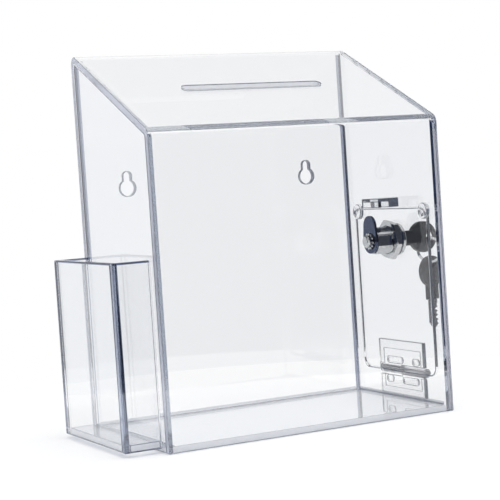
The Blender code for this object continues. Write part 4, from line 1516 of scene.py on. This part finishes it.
@dataclass(frozen=True)
class CamLock:
    """Cam lock through the door: threaded barrel, nut, plug, cam, toothed washer and screw.

    Attributes:
        flange_back: Back of the flange, against the door.
        flange_face: Outer face of the flange.
        end: Inner end of the barrel.
        flange: Radius of the flange.
        flange_rounding: Rounding of its outer edge.
        body: Radius over the thread.
        flats: Width over the two flats.
        pitch: Pitch of the thread.
        thread: Depth of the thread.
        bore: Radius of the plug's bore.
        plug: Radius of the plug.
        plug_face: Outer face of the plug.
        edge: Rounding of the plug's and the tenon's edges.
        key_depth: Depth of the keyway.
        warding_mm: Corners of the keyway from the axis, in millimetres.
        nut_outer: Face of the nut against the door.
        nut_thickness: Thickness of the nut.
        nut_flats: Width of the nut over its flats.
        nut_turn_deg: Turn of the nut.
        chamfer_deg: Slope of its chamfers.
        cam_outer: Face of the cam against the barrel.
        cam_thickness: Thickness of the cam.
        cam_root: Radius of its root.
        cam_tip: Radius of its tip.
        cam_reach: How far it reaches from the axis.
        cam_edge: Rounding that the punch leaves on its edges.
        cam_hole_corner: Radius in the corners of its square hole.
        tenon: Side of the square tenon.
        gap: Seat gap between the pieces.
        washer: Radius over the washer's teeth.
        washer_thickness: Thickness of the washer.
        tooth: Depth of a tooth.
        screw_hole: Radius of the washer's hole and of the tapped one.
        tapping: How far the tapped hole goes past both ends of the tenon.
        head: Radius of the screw's head.
        head_height: Height of the head.
        crown: Radius of the head's rounded edge.
        shank: Radius of the screw's shank.
        shank_length: Length of the shank.
        recess: Half length, half width and depth of the cross recess.
    """

    flange_back: float = 105.3 * MM
    flange_face: float = 107.8 * MM
    end: float = 84.3 * MM
    flange: float = 11.5 * MM
    flange_rounding: float = 0.9 * MM
    body: float = 9.5 * MM
    flats: float = 16.6 * MM
    pitch: float = 1.1 * MM
    thread: float = 0.5 * MM
    bore: float = 6.5 * MM
    plug: float = 6.2 * MM
    plug_face: float = 107.4 * MM
    edge: float = 0.4 * MM
    key_depth: float = 20.6 * MM
    warding_mm: tuple[Point, ...] = (
        (-1.3, -4.3), (1.3, -4.3), (1.3, -1.2), (0.8, -0.8), (0.8, 0.6), (1.3, 1.0), (1.3, 4.3),
        (-1.3, 4.3), (-1.3, 2.2), (-0.8, 1.8), (-0.8, 0.4), (-1.3, 0),
    )
    nut_outer: float = 100.7 * MM
    nut_thickness: float = 4.5 * MM
    nut_flats: float = 25 * MM
    nut_turn_deg: float = -18
    chamfer_deg: float = 30
    cam_outer: float = 84.0 * MM
    cam_thickness: float = 1.8 * MM
    cam_root: float = 8.6 * MM
    cam_tip: float = 7.4 * MM
    cam_reach: float = 17.8 * MM
    cam_edge: float = 0.7 * MM
    cam_hole_corner: float = 0.5 * MM
    tenon: float = 7.4 * MM
    gap: float = 0.3 * MM
    washer: float = 6 * MM
    washer_thickness: float = 0.8 * MM
    tooth: float = 1.1 * MM
    screw_hole: float = 2.3 * MM
    tapping: Point = (8 * MM, 2 * MM)
    head: float = 4.3 * MM
    head_height: float = 2.6 * MM
    crown: float = 1.6 * MM
    shank: float = 2 * MM
    shank_length: float = 4.8 * MM
    recess: Place = (2.5 * MM, 0.62 * MM, 1.5 * MM)

    @staticmethod
    def at(x: float) -> Place:
        """Return the place on the lock's axis at an X."""
        return (x, LOCK_Y, LOCK_Z)

    def thread_depth(self, x: float, turn_share: float) -> float:
        """Return how deep the thread is cut, which fades out at the barrel's end.

        Args:
            x: Place along the axis.
            turn_share: Place round it, as a share of a turn.

        Returns:
            The depth.
        """
        phase = (x / self.pitch - turn_share) % 1
        taper = min(1.0, (x - self.end) / self.pitch)
        return self.thread * (abs(2 * phase - 1) * taper + (1 - taper))

    def build_barrel(self) -> bpy.types.Object:
        """Return the barrel: flange, thread with two flats, and bore.

        Returns:
            The new object.
        """
        steps, rings_per_turn = 72, 4
        length = self.flange_back - self.end
        count = int(length / self.pitch * rings_per_turn)
        middle = (self.flange - self.flange_rounding, self.flange_face - self.flange_rounding)
        rim = arc(middle, self.flange_rounding, math.pi / 2, 0, 6)
        sections = [(self.bore, self.flange_face, False)]
        sections += [(radius, x, False) for radius, x in rim]
        sections += [(self.flange, self.flange_back, False)]
        sections += [(self.body, self.flange_back - length * ring / count, True) for ring in range(count + 1)]
        sections += [(self.bore, self.end, False)]
        rings = []
        for radius, x, threaded in sections:
            ring = []
            for step in range(steps):
                angle = 2 * math.pi * step / steps
                reach = radius - (self.thread_depth(x, step / steps) if threaded else 0)
                across = reach * math.cos(angle)
                if threaded:
                    across = max(-self.flats / 2, min(self.flats / 2, across))
                ring.append((x, LOCK_Y + across, LOCK_Z + reach * math.sin(angle)))
            rings.append(ring)
        return Workshop.smooth(Workshop.skin("threaded_barrel", rings, True))

    def build_nut(self) -> bpy.types.Object:
        """Return the hexagon nut, chamfered on both faces, with a plain bore widened at both ends.

        Returns:
            The new object.
        """
        corner = self.nut_flats / math.sqrt(3)
        turn = math.radians(self.nut_turn_deg)
        hexagon = arc((0, 0), corner, turn + math.pi / 2, turn + math.pi * 5 / 2, 6)[:-1]
        half, flat = self.nut_thickness / 2, self.nut_flats / 2
        middle = self.at(self.nut_outer - half)
        nut = Workshop.plate("hexagon_nut", [hexagon], self.nut_thickness, Turn.ACROSS_X, middle)
        drop = (corner - flat) * math.tan(math.radians(self.chamfer_deg))
        profile = [
            (0, half), (flat, half), (corner, half - drop), (corner, drop - half), (flat, -half), (0, -half),
        ]
        Workshop.combine(nut, Workshop.turned("chamfer", profile, Turn.ALONG_X, middle, 96), "INTERSECT")
        tight, over = self.body + self.gap, half + self.gap
        wide, under = tight + 2 * self.gap, half - self.gap
        bore = [(0, over), (wide, over), (tight, under), (tight, -under), (wide, -over), (0, -over)]
        Workshop.combine(nut, Workshop.turned("bore", bore, Turn.ALONG_X, middle), "DIFFERENCE")
        return Workshop.smooth(nut)

    def build_plug(self) -> bpy.types.Object:
        """Return the plug: rounded face, keyway and square tenon.

        Returns:
            The new object.
        """
        face, narrow = self.plug_face, self.plug - self.edge
        profile = [
            (0, face), (narrow, face), (self.plug, face - self.edge),
            (self.plug, self.end + self.edge), (narrow, self.end), (0, self.end),
        ]
        plug = Workshop.turned("keyed_plug", profile, Turn.ALONG_X, self.at(0))
        inner = self.cam_outer - self.cam_thickness
        outer = self.end + self.cam_thickness
        half = self.tenon / 2
        square = rectangle(-half, half, -half, half)
        tenon = Workshop.plate("tenon", [square], outer - inner, Turn.ACROSS_X, self.at((inner + outer) / 2))
        Workshop.combine(plug, Workshop.soften(tenon, self.edge), "UNION")
        outline = [(a * MM, b * MM) for a, b in self.warding_mm]
        keyway = Workshop.plate("keyway", [outline], 2 * self.key_depth, Turn.ACROSS_X, self.at(face))
        Workshop.combine(plug, keyway, "DIFFERENCE")
        deep, out = inner + self.tapping[0], inner - self.tapping[1]
        drill = [(0, deep), (self.screw_hole, deep), (self.screw_hole, out), (0, out)]
        tapped = Workshop.turned("tapping", drill, Turn.ALONG_X, self.at(0), 32)
        Workshop.combine(plug, tapped, "DIFFERENCE")
        return Workshop.smooth(plug)

    def build_cam(self) -> bpy.types.Object:
        """Return the stamped cam, upright as when the box is locked.

        Returns:
            The new object.
        """
        tip_z = self.cam_reach - self.cam_tip
        lean = math.asin((self.cam_root - self.cam_tip) / tip_z)
        tip = arc((0, tip_z), self.cam_tip, lean, math.pi - lean, 32)
        root = arc((0, 0), self.cam_root, math.pi - lean, 2 * math.pi + lean, 48)
        half = self.tenon / 2 + self.gap
        middle = self.at(self.cam_outer - self.cam_thickness / 2)
        outlines = [tip + root, rounded(rectangle(-half, half, -half, half), self.cam_hole_corner, 4)]
        cam = Workshop.plate("stamped_cam", outlines, self.cam_thickness, Turn.ACROSS_X, middle)
        return Workshop.smooth(Workshop.soften(cam, self.cam_edge, 4))

    def build_washer(self) -> bpy.types.Object:
        """Return the washer, whose teeth are twisted out of its plane.

        Returns:
            The new object.
        """
        teeth, per_tooth = 12, 8
        flat = self.washer_thickness / 2
        twist, twist_slope = 0.55 * flat, 5.3
        thin, thick = 0.45 * flat, 0.9 * flat
        middle = self.cam_outer - self.cam_thickness - self.gap - flat
        root = self.washer - self.tooth
        rings = []
        for edge, side in ((0, 1), (1, 1), (2, 1), (2, -1), (1, -1), (0, -1)):
            ring = []
            for step in range(teeth * per_tooth):
                angle = 2 * math.pi * step / (teeth * per_tooth)
                phase = step % per_tooth / per_tooth
                crest = phase < 0.5
                reach = (self.screw_hole, root, self.washer if crest else root)[edge]
                x = middle + side * (thin if edge == 2 else thick)
                if edge == 2 and crest:
                    x += twist * (phase * twist_slope - 1)
                ring.append((x, LOCK_Y + reach * math.cos(angle), LOCK_Z + reach * math.sin(angle)))
            rings.append(ring)
        return Workshop.smooth(Workshop.skin("toothed_washer", rings, True))

    def build_screw(self) -> bpy.types.Object:
        """Return the pan head screw with its tapered cross recess.

        Returns:
            The new object.
        """
        seat = self.cam_outer - self.cam_thickness - self.washer_thickness - 2 * self.gap
        middle = (self.head - self.crown, self.crown - self.head_height)
        crown = arc(middle, self.crown, 0, -math.pi / 2, 10)
        profile = [
            (0, self.shank_length), (self.shank, self.shank_length), (self.shank, 0), (self.head, 0),
            *crown, (0, -self.head_height),
        ]
        screw = Workshop.turned("pan_head_screw", profile, Turn.ALONG_X, self.at(seat))
        long, narrow, depth = self.recess
        lip, foot = -0.2 * MM, 0.45 * long
        for upright in (True, False):
            outline = [
                (-long, depth), (-long, lip), (-foot, -depth), (foot, -depth), (long, lip), (long, depth),
            ]
            blade = Workshop.plate("recess", [outline], 2 * narrow)
            stand = Matrix(((0, -1, 0, 0), (0, 0, 1, 0), (1, 0, 0, 0), (0, 0, 0, 1)))
            if not upright:
                stand = Matrix.Rotation(math.pi / 2, 4, "X") @ stand
            blade.data.transform(Matrix.Translation(self.at(seat - self.head_height)) @ stand)
            Workshop.combine(screw, blade, "DIFFERENCE")
        return Workshop.smooth(screw)

    def dress(self, finishes: Finishes) -> None:
        """Build the lock's pieces and hand them over.

        Args:
            finishes: All materials.
        """
        chrome = "chromed_zinc"
        pieces = (
            (self.build_barrel, "door", chrome, "lock_barrel"),
            (self.build_nut, "door", chrome, "lock_nut"),
            (self.build_plug, "plug", chrome, "lock_plug"),
            (self.build_cam, "plug", "plated_steel", "lock_cam"),
            (self.build_washer, "plug", chrome, "cam_washer"),
            (self.build_screw, "plug", chrome, "cam_screw"),
        )
        for build, body, slot, node in pieces:
            hand_over(build(), body, slot, finishes, node)


@dataclass(frozen=True)
class Key:
    """Key: a steel blade moulded into a round black bow.

    Attributes:
        body: Body that it moves with, whose name begins the names of its nodes.
        place: Middle of its hole.
        turn: Turn from lying along X, with its hole across Y.
        radius: Radius of the bow.
        thickness: Thickness of the bow.
        hole: Radius of its hole.
        hole_inset: Distance from the hole's middle to the bow's end.
        neck_length: Length of the neck.
        neck_width: Width of the neck.
        recess: Depth of the sunk panel on each face of the bow.
        rim: Width of the rim round that panel.
        blade_length: Length of the blade.
        blade_width: Width of the blade.
        blade_thickness: Thickness of the blade.
        gap: Gap between the neck's end and the blade's shoulder.
        tang_depth: How far the tang reaches into the bow.
        tang_width: Width of the tang.
        pitch: Distance between two cuts.
        cut_shares: Depths of the cuts, as shares of the blade's width.
        groove: Depth of the milled grooves, on both sides of the face.
        bow_edge: Rounding of the bow's edges.
        blade_edge: Rounding of the blade's edges.
    """

    body: str
    place: Place
    turn: Matrix
    radius: float = 11 * MM
    thickness: float = 3.4 * MM
    hole: float = 3.7 * MM
    hole_inset: float = 5.4 * MM
    neck_length: float = 9 * MM
    neck_width: float = 10.5 * MM
    recess: float = 0.35 * MM
    rim: float = 1.5 * MM
    blade_length: float = 20.5 * MM
    blade_width: float = 7.8 * MM
    blade_thickness: float = 2 * MM
    gap: float = 0.3 * MM
    tang_depth: float = 8 * MM
    tang_width: float = 6 * MM
    pitch: float = 3 * MM
    cut_shares: tuple[float, ...] = (0.16, 0.30, 0.22, 0.34, 0.12)
    groove: float = 0.9 * MM
    bow_edge: float = 0.55 * MM
    blade_edge: float = 0.15 * MM

    @property
    def neck_end(self) -> float:
        """Place of the neck's end from the hole's middle."""
        return self.hole_inset - 2 * self.radius - self.neck_length

    def bow_outline(self, inset: float) -> list[Point]:
        """Return the bow's outline, its hole at the origin and its end towards +X.

        Args:
            inset: How far the outline lies inside the edge.

        Returns:
            Points in order.
        """
        centre = self.hole_inset - self.radius
        radius = self.radius - inset
        half = self.neck_width / 2 - inset
        angle = math.asin(half / radius)
        disc = arc((centre, 0), radius, -math.pi + angle, math.pi - angle, 72)
        return disc + [(self.neck_end + inset, half), (self.neck_end + inset, -half)]

    def bow(self, name: str) -> bpy.types.Object:
        """Return the bow, with a sunk panel on each face and a collar round the hole.

        Args:
            name: Name of the piece.

        Returns:
            The new object.
        """
        ring = arc((0, 0), self.hole, 0, 2 * math.pi, 40)[:-1]
        bow = Workshop.plate(name, [self.bow_outline(0), ring], self.thickness)
        Workshop.soften(bow, self.bow_edge, 3)
        collar = self.hole + self.rim * 0.7
        for side in (-1, 1):
            place = (0, 0, side * self.thickness / 2)
            panel = Workshop.plate("panel", [self.bow_outline(self.rim)], 2 * self.recess, Turn.NONE, place)
            spared = [(0, self.radius), (collar, self.radius), (collar, -self.radius), (0, -self.radius)]
            Workshop.combine(panel, Workshop.turned("collar", spared), "DIFFERENCE")
            Workshop.combine(bow, panel, "DIFFERENCE")
        seat = self.gap
        outline = rectangle(
            self.neck_end - seat, self.neck_end + self.tang_depth + seat,
            -self.tang_width / 2 - seat, self.tang_width / 2 + seat,
        )
        pocket = Workshop.plate("tang_seat", [outline], self.blade_thickness + 2 * seat)
        return Workshop.combine(bow, pocket, "DIFFERENCE")

    def blade(self, name: str) -> bpy.types.Object:
        """Return the blade with its tang, its cuts and a milled groove on each face.

        Args:
            name: Name of the piece.

        Returns:
            The new object.
        """
        shoulder = self.neck_end - self.gap
        tip = self.neck_end - self.blade_length
        half = self.blade_width / 2
        tang = self.tang_width / 2
        start = tip + half * 0.75
        points = [
            (self.neck_end + self.tang_depth, -tang), (self.neck_end + self.tang_depth, tang),
            (shoulder, tang), (shoulder, half), (tip + half, half), (tip, half * 0.25),
            (tip, -half * 0.25), (start, -half),
        ]
        for index, share in enumerate(self.cut_shares):
            first = start + self.pitch * index
            depth = self.blade_width * share
            points.append((first + self.pitch * 0.4, depth - half))
            points.append((first + self.pitch * 0.6, depth - half))
            points.append((first + self.pitch, -half))
        points += [(shoulder, -half), (shoulder, -tang)]
        blade = Workshop.plate(name, [points], self.blade_thickness)
        Workshop.soften(blade, self.blade_edge)
        for side in (-1, 1):
            groove = rectangle(tip - half, shoulder + self.gap, half * 0.1, half * 0.5)
            place = (0, 0, side * self.blade_thickness / 2)
            tool = Workshop.plate("groove", [groove], self.groove, Turn.NONE, place)
            Workshop.combine(blade, tool, "DIFFERENCE")
        return blade

    def dress(self, finishes: Finishes) -> None:
        """Build the key and hand it over.

        Args:
            finishes: All materials.
        """
        lay = Matrix.Translation(self.place) @ self.turn @ Turn.ACROSS_Y.value
        bow, blade = f"{self.body}_bow", f"{self.body}_blade"
        pieces = (
            (self.bow(bow + "_moulding"), "black_plastic", bow),
            (self.blade(blade + "_milled"), "plated_steel", blade),
        )
        for piece, slot, node in pieces:
            piece.data.transform(lay)
            hand_over(Workshop.smooth(piece), self.body, slot, finishes, node)


@dataclass(frozen=True)
class SplitRing:
    """Split ring of flat spring wire, two turns that lie on each other.

    Attributes:
        radius: Radius to the middle of the wire.
        width: Width of the wire, across the ring.
        height: Height of both turns together.
        overlap_deg: Angle over which the wire steps from one turn to the other.
        centre: Middle of the ring.
        turn_deg: Turn of the ring about the upright.
        start_deg: Where the wire starts round the ring.
        turns: Turns of the wire.
    """

    radius: float = 8.6 * MM
    width: float = 1.9 * MM
    height: float = 1.9 * MM
    overlap_deg: float = 40
    centre: Place = (KEY_RING_X, LOCK_Y, 105.8 * MM)
    turn_deg: float = -46
    start_deg: float = 200
    turns: float = 1.96

    def build(self) -> bpy.types.Object:
        """Return the ring.

        Returns:
            The new object.
        """
        steps = 144
        wire = self.height / 2 * 0.93
        section = rounded(rectangle(-self.width / 2, self.width / 2, -wire / 2, wire / 2), wire * 0.36, 4)
        climb_turns = self.overlap_deg / 360
        rings = []
        for step in range(steps + 1):
            travelled = self.turns * step / steps
            climb = min(1.0, max(0.0, (travelled - self.turns / 2 + climb_turns / 2) / climb_turns))
            climb = climb * climb * (3 - 2 * climb)
            level = (climb - 0.5) * self.height / 2
            spin = Matrix.Rotation(2 * math.pi * travelled, 4, "Z")
            rings.append([tuple(spin @ Vector((self.radius + a, 0, level + b))) for a, b in section])
        stand = Matrix.Rotation(math.radians(self.turn_deg), 4, "Z") @ Matrix.Rotation(math.pi / 2, 4, "X")
        lay = Matrix.Translation(self.centre) @ stand @ Matrix.Rotation(math.radians(self.start_deg), 4, "Z")
        return Workshop.smooth(Workshop.skin("split_ring", rings, False, lay))

    def dress(self, finishes: Finishes) -> None:
        """Build the ring and hand it over."""
        hand_over(self.build(), "ring", "plated_steel", finishes, "key_ring")


@dataclass(frozen=True)
class Patch:
    """Lit round part of the room, which polished faces and sheet edges reflect.

    Attributes:
        azimuth_deg: Where its middle is, from +Y towards +X.
        elevation_deg: How high its middle is.
        inner_deg: Half angle of its even part.
        outer_deg: Half angle at which it has faded out.
        colour: Its colour.
        strength: Its brightness, where one is white.
    """

    azimuth_deg: float
    elevation_deg: float
    inner_deg: float
    outer_deg: float
    colour: str
    strength: float

    def direction(self) -> Place:
        """Return the unit vector to the patch's middle.

        Returns:
            The vector.
        """
        azimuth = math.radians(self.azimuth_deg)
        elevation = math.radians(self.elevation_deg)
        return (
            math.sin(azimuth) * math.cos(elevation),
            math.cos(azimuth) * math.cos(elevation),
            math.sin(elevation),
        )

    def light(self) -> Colour:
        """Return the patch's linear colour times its strength."""
        red, green, blue, _ = linear(self.colour)
        return (red * self.strength, green * self.strength, blue * self.strength, 1.0)


@dataclass(frozen=True)
class SoftLamp:
    """Rectangular soft lamp.

    Attributes:
        name: Name of the lamp.
        place: Where it hangs, in metres.
        target: What it points at.
        size: Width and height.
        power: Power in watts.
    """

    name: str
    place: Place
    target: Place
    size: tuple[float, float]
    power: float


@dataclass(frozen=True)
class Studio:
    """White table in a room with a pale backdrop, lit from above.

    Attributes:
        table_radius: Radius of the round table top.
        table_drop: How far the table top lies under the box.
        backdrop_colour: What clear plastic shows behind it.
        near_colour: Unlit part of the room in a first reflection.
        room_colour: Unlit part of the room in light trapped in a sheet.
        patches: Lit parts of the room that every reflection shows.
        near_patches: Lit parts that only a first reflection shows, not light trapped in a sheet.
        lamps: Soft lamps over the table.
    """

    table_radius: float = 318 * MM
    table_drop: float = 0.2 * MM
    backdrop_colour: str = "#FCFDFF"
    near_colour: str = "#4A4C52"
    room_colour: str = "#2F3C58"
    patches: tuple[Patch, ...] = (
        Patch(27, 0, 20, 42, "#F2F4F8", 1.0),
        Patch(40, 48, 24, 40, "#FFFFFF", 0.85),
        Patch(-110, 35, 10, 24, "#FFFFFF", 1.3),
        Patch(0, -90, 78, 83, "#FFFFFF", 0.95),
    )
    near_patches: tuple[Patch, ...] = (
        Patch(-27, 4, 17, 30, "#F6F8FB", 1.0),
        Patch(-120, 6, 22, 38, "#FFFFFF", 1.0),
        Patch(90, 62, 20, 36, "#FFFFFF", 1.0),
        Patch(90, 7, 16, 34, "#F4F5F8", 0.9),
        Patch(184, 8, 14, 27, "#F4F5F8", 0.9),
    )
    lamps: tuple[SoftLamp, ...] = (
        SoftLamp("top_softbox", (0.2, -0.3, 1.3), (0, 0, 0.1), (1.0, 0.8), 1.6),
    )

    def build(self) -> None:
        """Build table, room and lamps."""
        self.build_table()
        self.build_room()
        self.build_lamps()

    def build_table(self) -> None:
        """Build the round white table top."""
        mesh = bpy.data.meshes.new("table")
        body = bmesh.new()
        bmesh.ops.create_circle(body, cap_ends=True, segments=96, radius=self.table_radius)
        body.to_mesh(mesh)
        body.free()
        table = bpy.data.objects.new("table", mesh)
        table.location.z = -self.table_drop
        bpy.context.scene.collection.objects.link(table)
        # White melamine laminate: matt, so that it takes a soft shadow
        mesh.materials.append(Laminate("white_laminate", 0.985, 16.67 * MM).material())

    def build_room(self) -> None:
        """Build the room: pale all round when seen straight, dark navy with lit parts in reflections."""
        world = bpy.data.worlds.new("room")
        bpy.context.scene.world = world
        world.use_nodes = True
        graph = NodeGraph(world.node_tree)
        direction = graph.add("ShaderNodeTexCoord").outputs["Generated"]
        path = graph.add("ShaderNodeLightPath")
        tests = {
            "trapped": ("GREATER_THAN", "Glossy Depth", 1.5),
            "reflected": ("GREATER_THAN", "Glossy Depth", 0.5),
            "undiffused": ("LESS_THAN", "Diffuse Depth", 0.5),
        }
        is_true = {}
        for name, (kind, depth, limit) in tests.items():
            compared = {0: path.outputs[depth], 1: limit}
            is_true[name] = graph.add("ShaderNodeMath", {"operation": kind}, compared).outputs[0]
        both = {0: is_true["reflected"], 1: is_true["undiffused"]}
        in_room = graph.add("ShaderNodeMath", {"operation": "MULTIPLY"}, both).outputs[0]
        deep = self.add_patches(graph, direction, linear(self.room_colour), self.patches)
        all_patches = self.patches + self.near_patches
        shallow = self.add_patches(graph, direction, linear(self.near_colour), all_patches)
        choices = {0: is_true["trapped"], 1: shallow, 2: deep}
        room = graph.add("ShaderNodeMixRGB", inputs=choices).outputs["Color"]
        is_through = path.outputs["Is Transmission Ray"]
        behind = {0: is_through, 1: linear("#FFFFFF"), 2: linear(self.backdrop_colour)}
        straight = graph.add("ShaderNodeMixRGB", inputs=behind).outputs["Color"]
        seen = graph.add("ShaderNodeMixRGB", inputs={0: in_room, 1: straight, 2: room}).outputs["Color"]
        shade = graph.add("ShaderNodeBackground", inputs={"Color": seen, "Strength": 1.0})
        graph.add("ShaderNodeOutputWorld", inputs={"Surface": shade.outputs["Background"]})

    @staticmethod
    def add_patches(
        graph: NodeGraph,
        direction: bpy.types.NodeSocket,
        start: Colour,
        patches: tuple[Patch, ...],
    ) -> bpy.types.NodeSocket:
        """Lay lit patches over the room.

        Args:
            graph: The world's nodes.
            direction: Direction that is looked in.
            start: Colour under the patches.
            patches: The patches, the last one on top.

        Returns:
            Colour of the room with its patches.
        """
        room = start
        for patch in patches:
            facing = {0: direction, 1: patch.direction()}
            aim = graph.add("ShaderNodeVectorMath", {"operation": "DOT_PRODUCT"}, facing).outputs["Value"]
            fade = {
                "Value": aim,
                "From Min": math.cos(math.radians(patch.outer_deg)),
                "From Max": math.cos(math.radians(patch.inner_deg)),
            }
            inside = graph.add("ShaderNodeMapRange", {"interpolation_type": "SMOOTHSTEP"}, fade)
            blend = {0: inside.outputs["Result"], 1: room, 2: patch.light()}
            room = graph.add("ShaderNodeMixRGB", inputs=blend).outputs["Color"]
        return room

    def build_lamps(self) -> None:
        """Hang the soft lamps."""
        for lamp_size in self.lamps:
            light = bpy.data.lights.new(lamp_size.name, "AREA")
            light.shape = "RECTANGLE"
            light.size, light.size_y = lamp_size.size
            light.energy = lamp_size.power
            lamp = bpy.data.objects.new(lamp_size.name, light)
            lamp.location = lamp_size.place
            aim = Vector(lamp_size.target) - Vector(lamp_size.place)
            lamp.rotation_euler = aim.to_track_quat("-Z", "Y").to_euler()
            bpy.context.scene.collection.objects.link(lamp)


@dataclass(frozen=True)
class Camera:
    """Long lens, a little above the box and to its left.

    Attributes:
        place: Where the lens is, in metres.
        azimuth_deg: Direction it looks in, from +Y towards -X.
        elevation_deg: How far it looks down.
        roll_deg: How far it leans.
        lens_mm: Focal length.
        sensor_mm: Width of the sensor.
        clip_start: Least distance that the camera shows.
    """

    place: Place = (-464.8 * MM, -893.3 * MM, 165.7 * MM)
    azimuth_deg: float = -26.99
    elevation_deg: float = 2.786
    roll_deg: float = -3.773
    lens_mm: float = 107.6
    sensor_mm: float = 36
    clip_start: float = 50 * MM

    def build(self) -> None:
        """Set up the camera and make it the scene's own."""
        azimuth = math.radians(self.azimuth_deg)
        elevation = math.radians(self.elevation_deg)
        roll = math.radians(self.roll_deg)
        reach = math.cos(elevation)
        forward = Vector((-math.sin(azimuth) * reach, math.cos(azimuth) * reach, -math.sin(elevation)))
        level = Vector((math.cos(azimuth), math.sin(azimuth), 0))
        upright = level.cross(forward)
        right = level * math.cos(roll) + upright * math.sin(roll)
        up = upright * math.cos(roll) - level * math.sin(roll)
        lens = bpy.data.cameras.new("camera")
        lens.sensor_width = self.sensor_mm
        lens.lens = self.lens_mm
        lens.clip_start = self.clip_start
        camera = bpy.data.objects.new("camera", lens)
        pose = Matrix((right, up, -forward)).transposed().to_4x4()
        pose.translation = Vector(self.place)
        camera.matrix_world = pose
        bpy.context.scene.collection.objects.link(camera)
        bpy.context.scene.camera = camera


def main() -> None:
    """Dress the frame, set the studio and the camera, and hand over."""
    logging.basicConfig(level=logging.INFO, format="%(name)s: %(message)s")
    scene = bpy.context.scene
    scene.view_settings.view_transform = "Standard"
    # Light takes many reflections inside a sheet before it leaves by the edge
    scene.cycles.max_bounces = 96
    scene.cycles.transmission_bounces = 64
    scene.cycles.glossy_bounces = 80
    scene.cycles.blur_glossy = 0
    finishes = Finishes()
    slots = {entry["node"]: entry["material_slot"] for entry in frame["record"]["subparts"]}
    for name, obj in frame["nodes"].items():
        finishes.dress(obj, slots[name])
    sheets = Sheets()
    upright = Matrix.Rotation(-math.pi / 2, 4, "Y")
    hanging = Matrix.Rotation(math.radians(SPARE_KEY_TURN_DEG), 4, "Z") @ upright
    assemblies = (
        BentSheet(sheets),
        SidePanels(sheets),
        CementBeads(sheets),
        Pocket(sheets),
        DoorStops(),
        Catch(),
        Hinge(),
        CamLock(),
        Key("key", (KEY_RING_X, LOCK_Y, LOCK_Z), Matrix.Identity(4)),
        Key("spare_key", (KEY_RING_X, LOCK_Y, SPARE_KEY_Z), hanging),
        SplitRing(),
    )
    for assembly in assemblies:
        before = set(bpy.data.objects.keys())
        assembly.dress(finishes)
        for name in bpy.data.objects.keys():
            if name not in before:
                log.info("%s made %s", type(assembly).__name__, name)
    Studio().build()
    Camera().build()


if __name__ == "__main__":
    main()
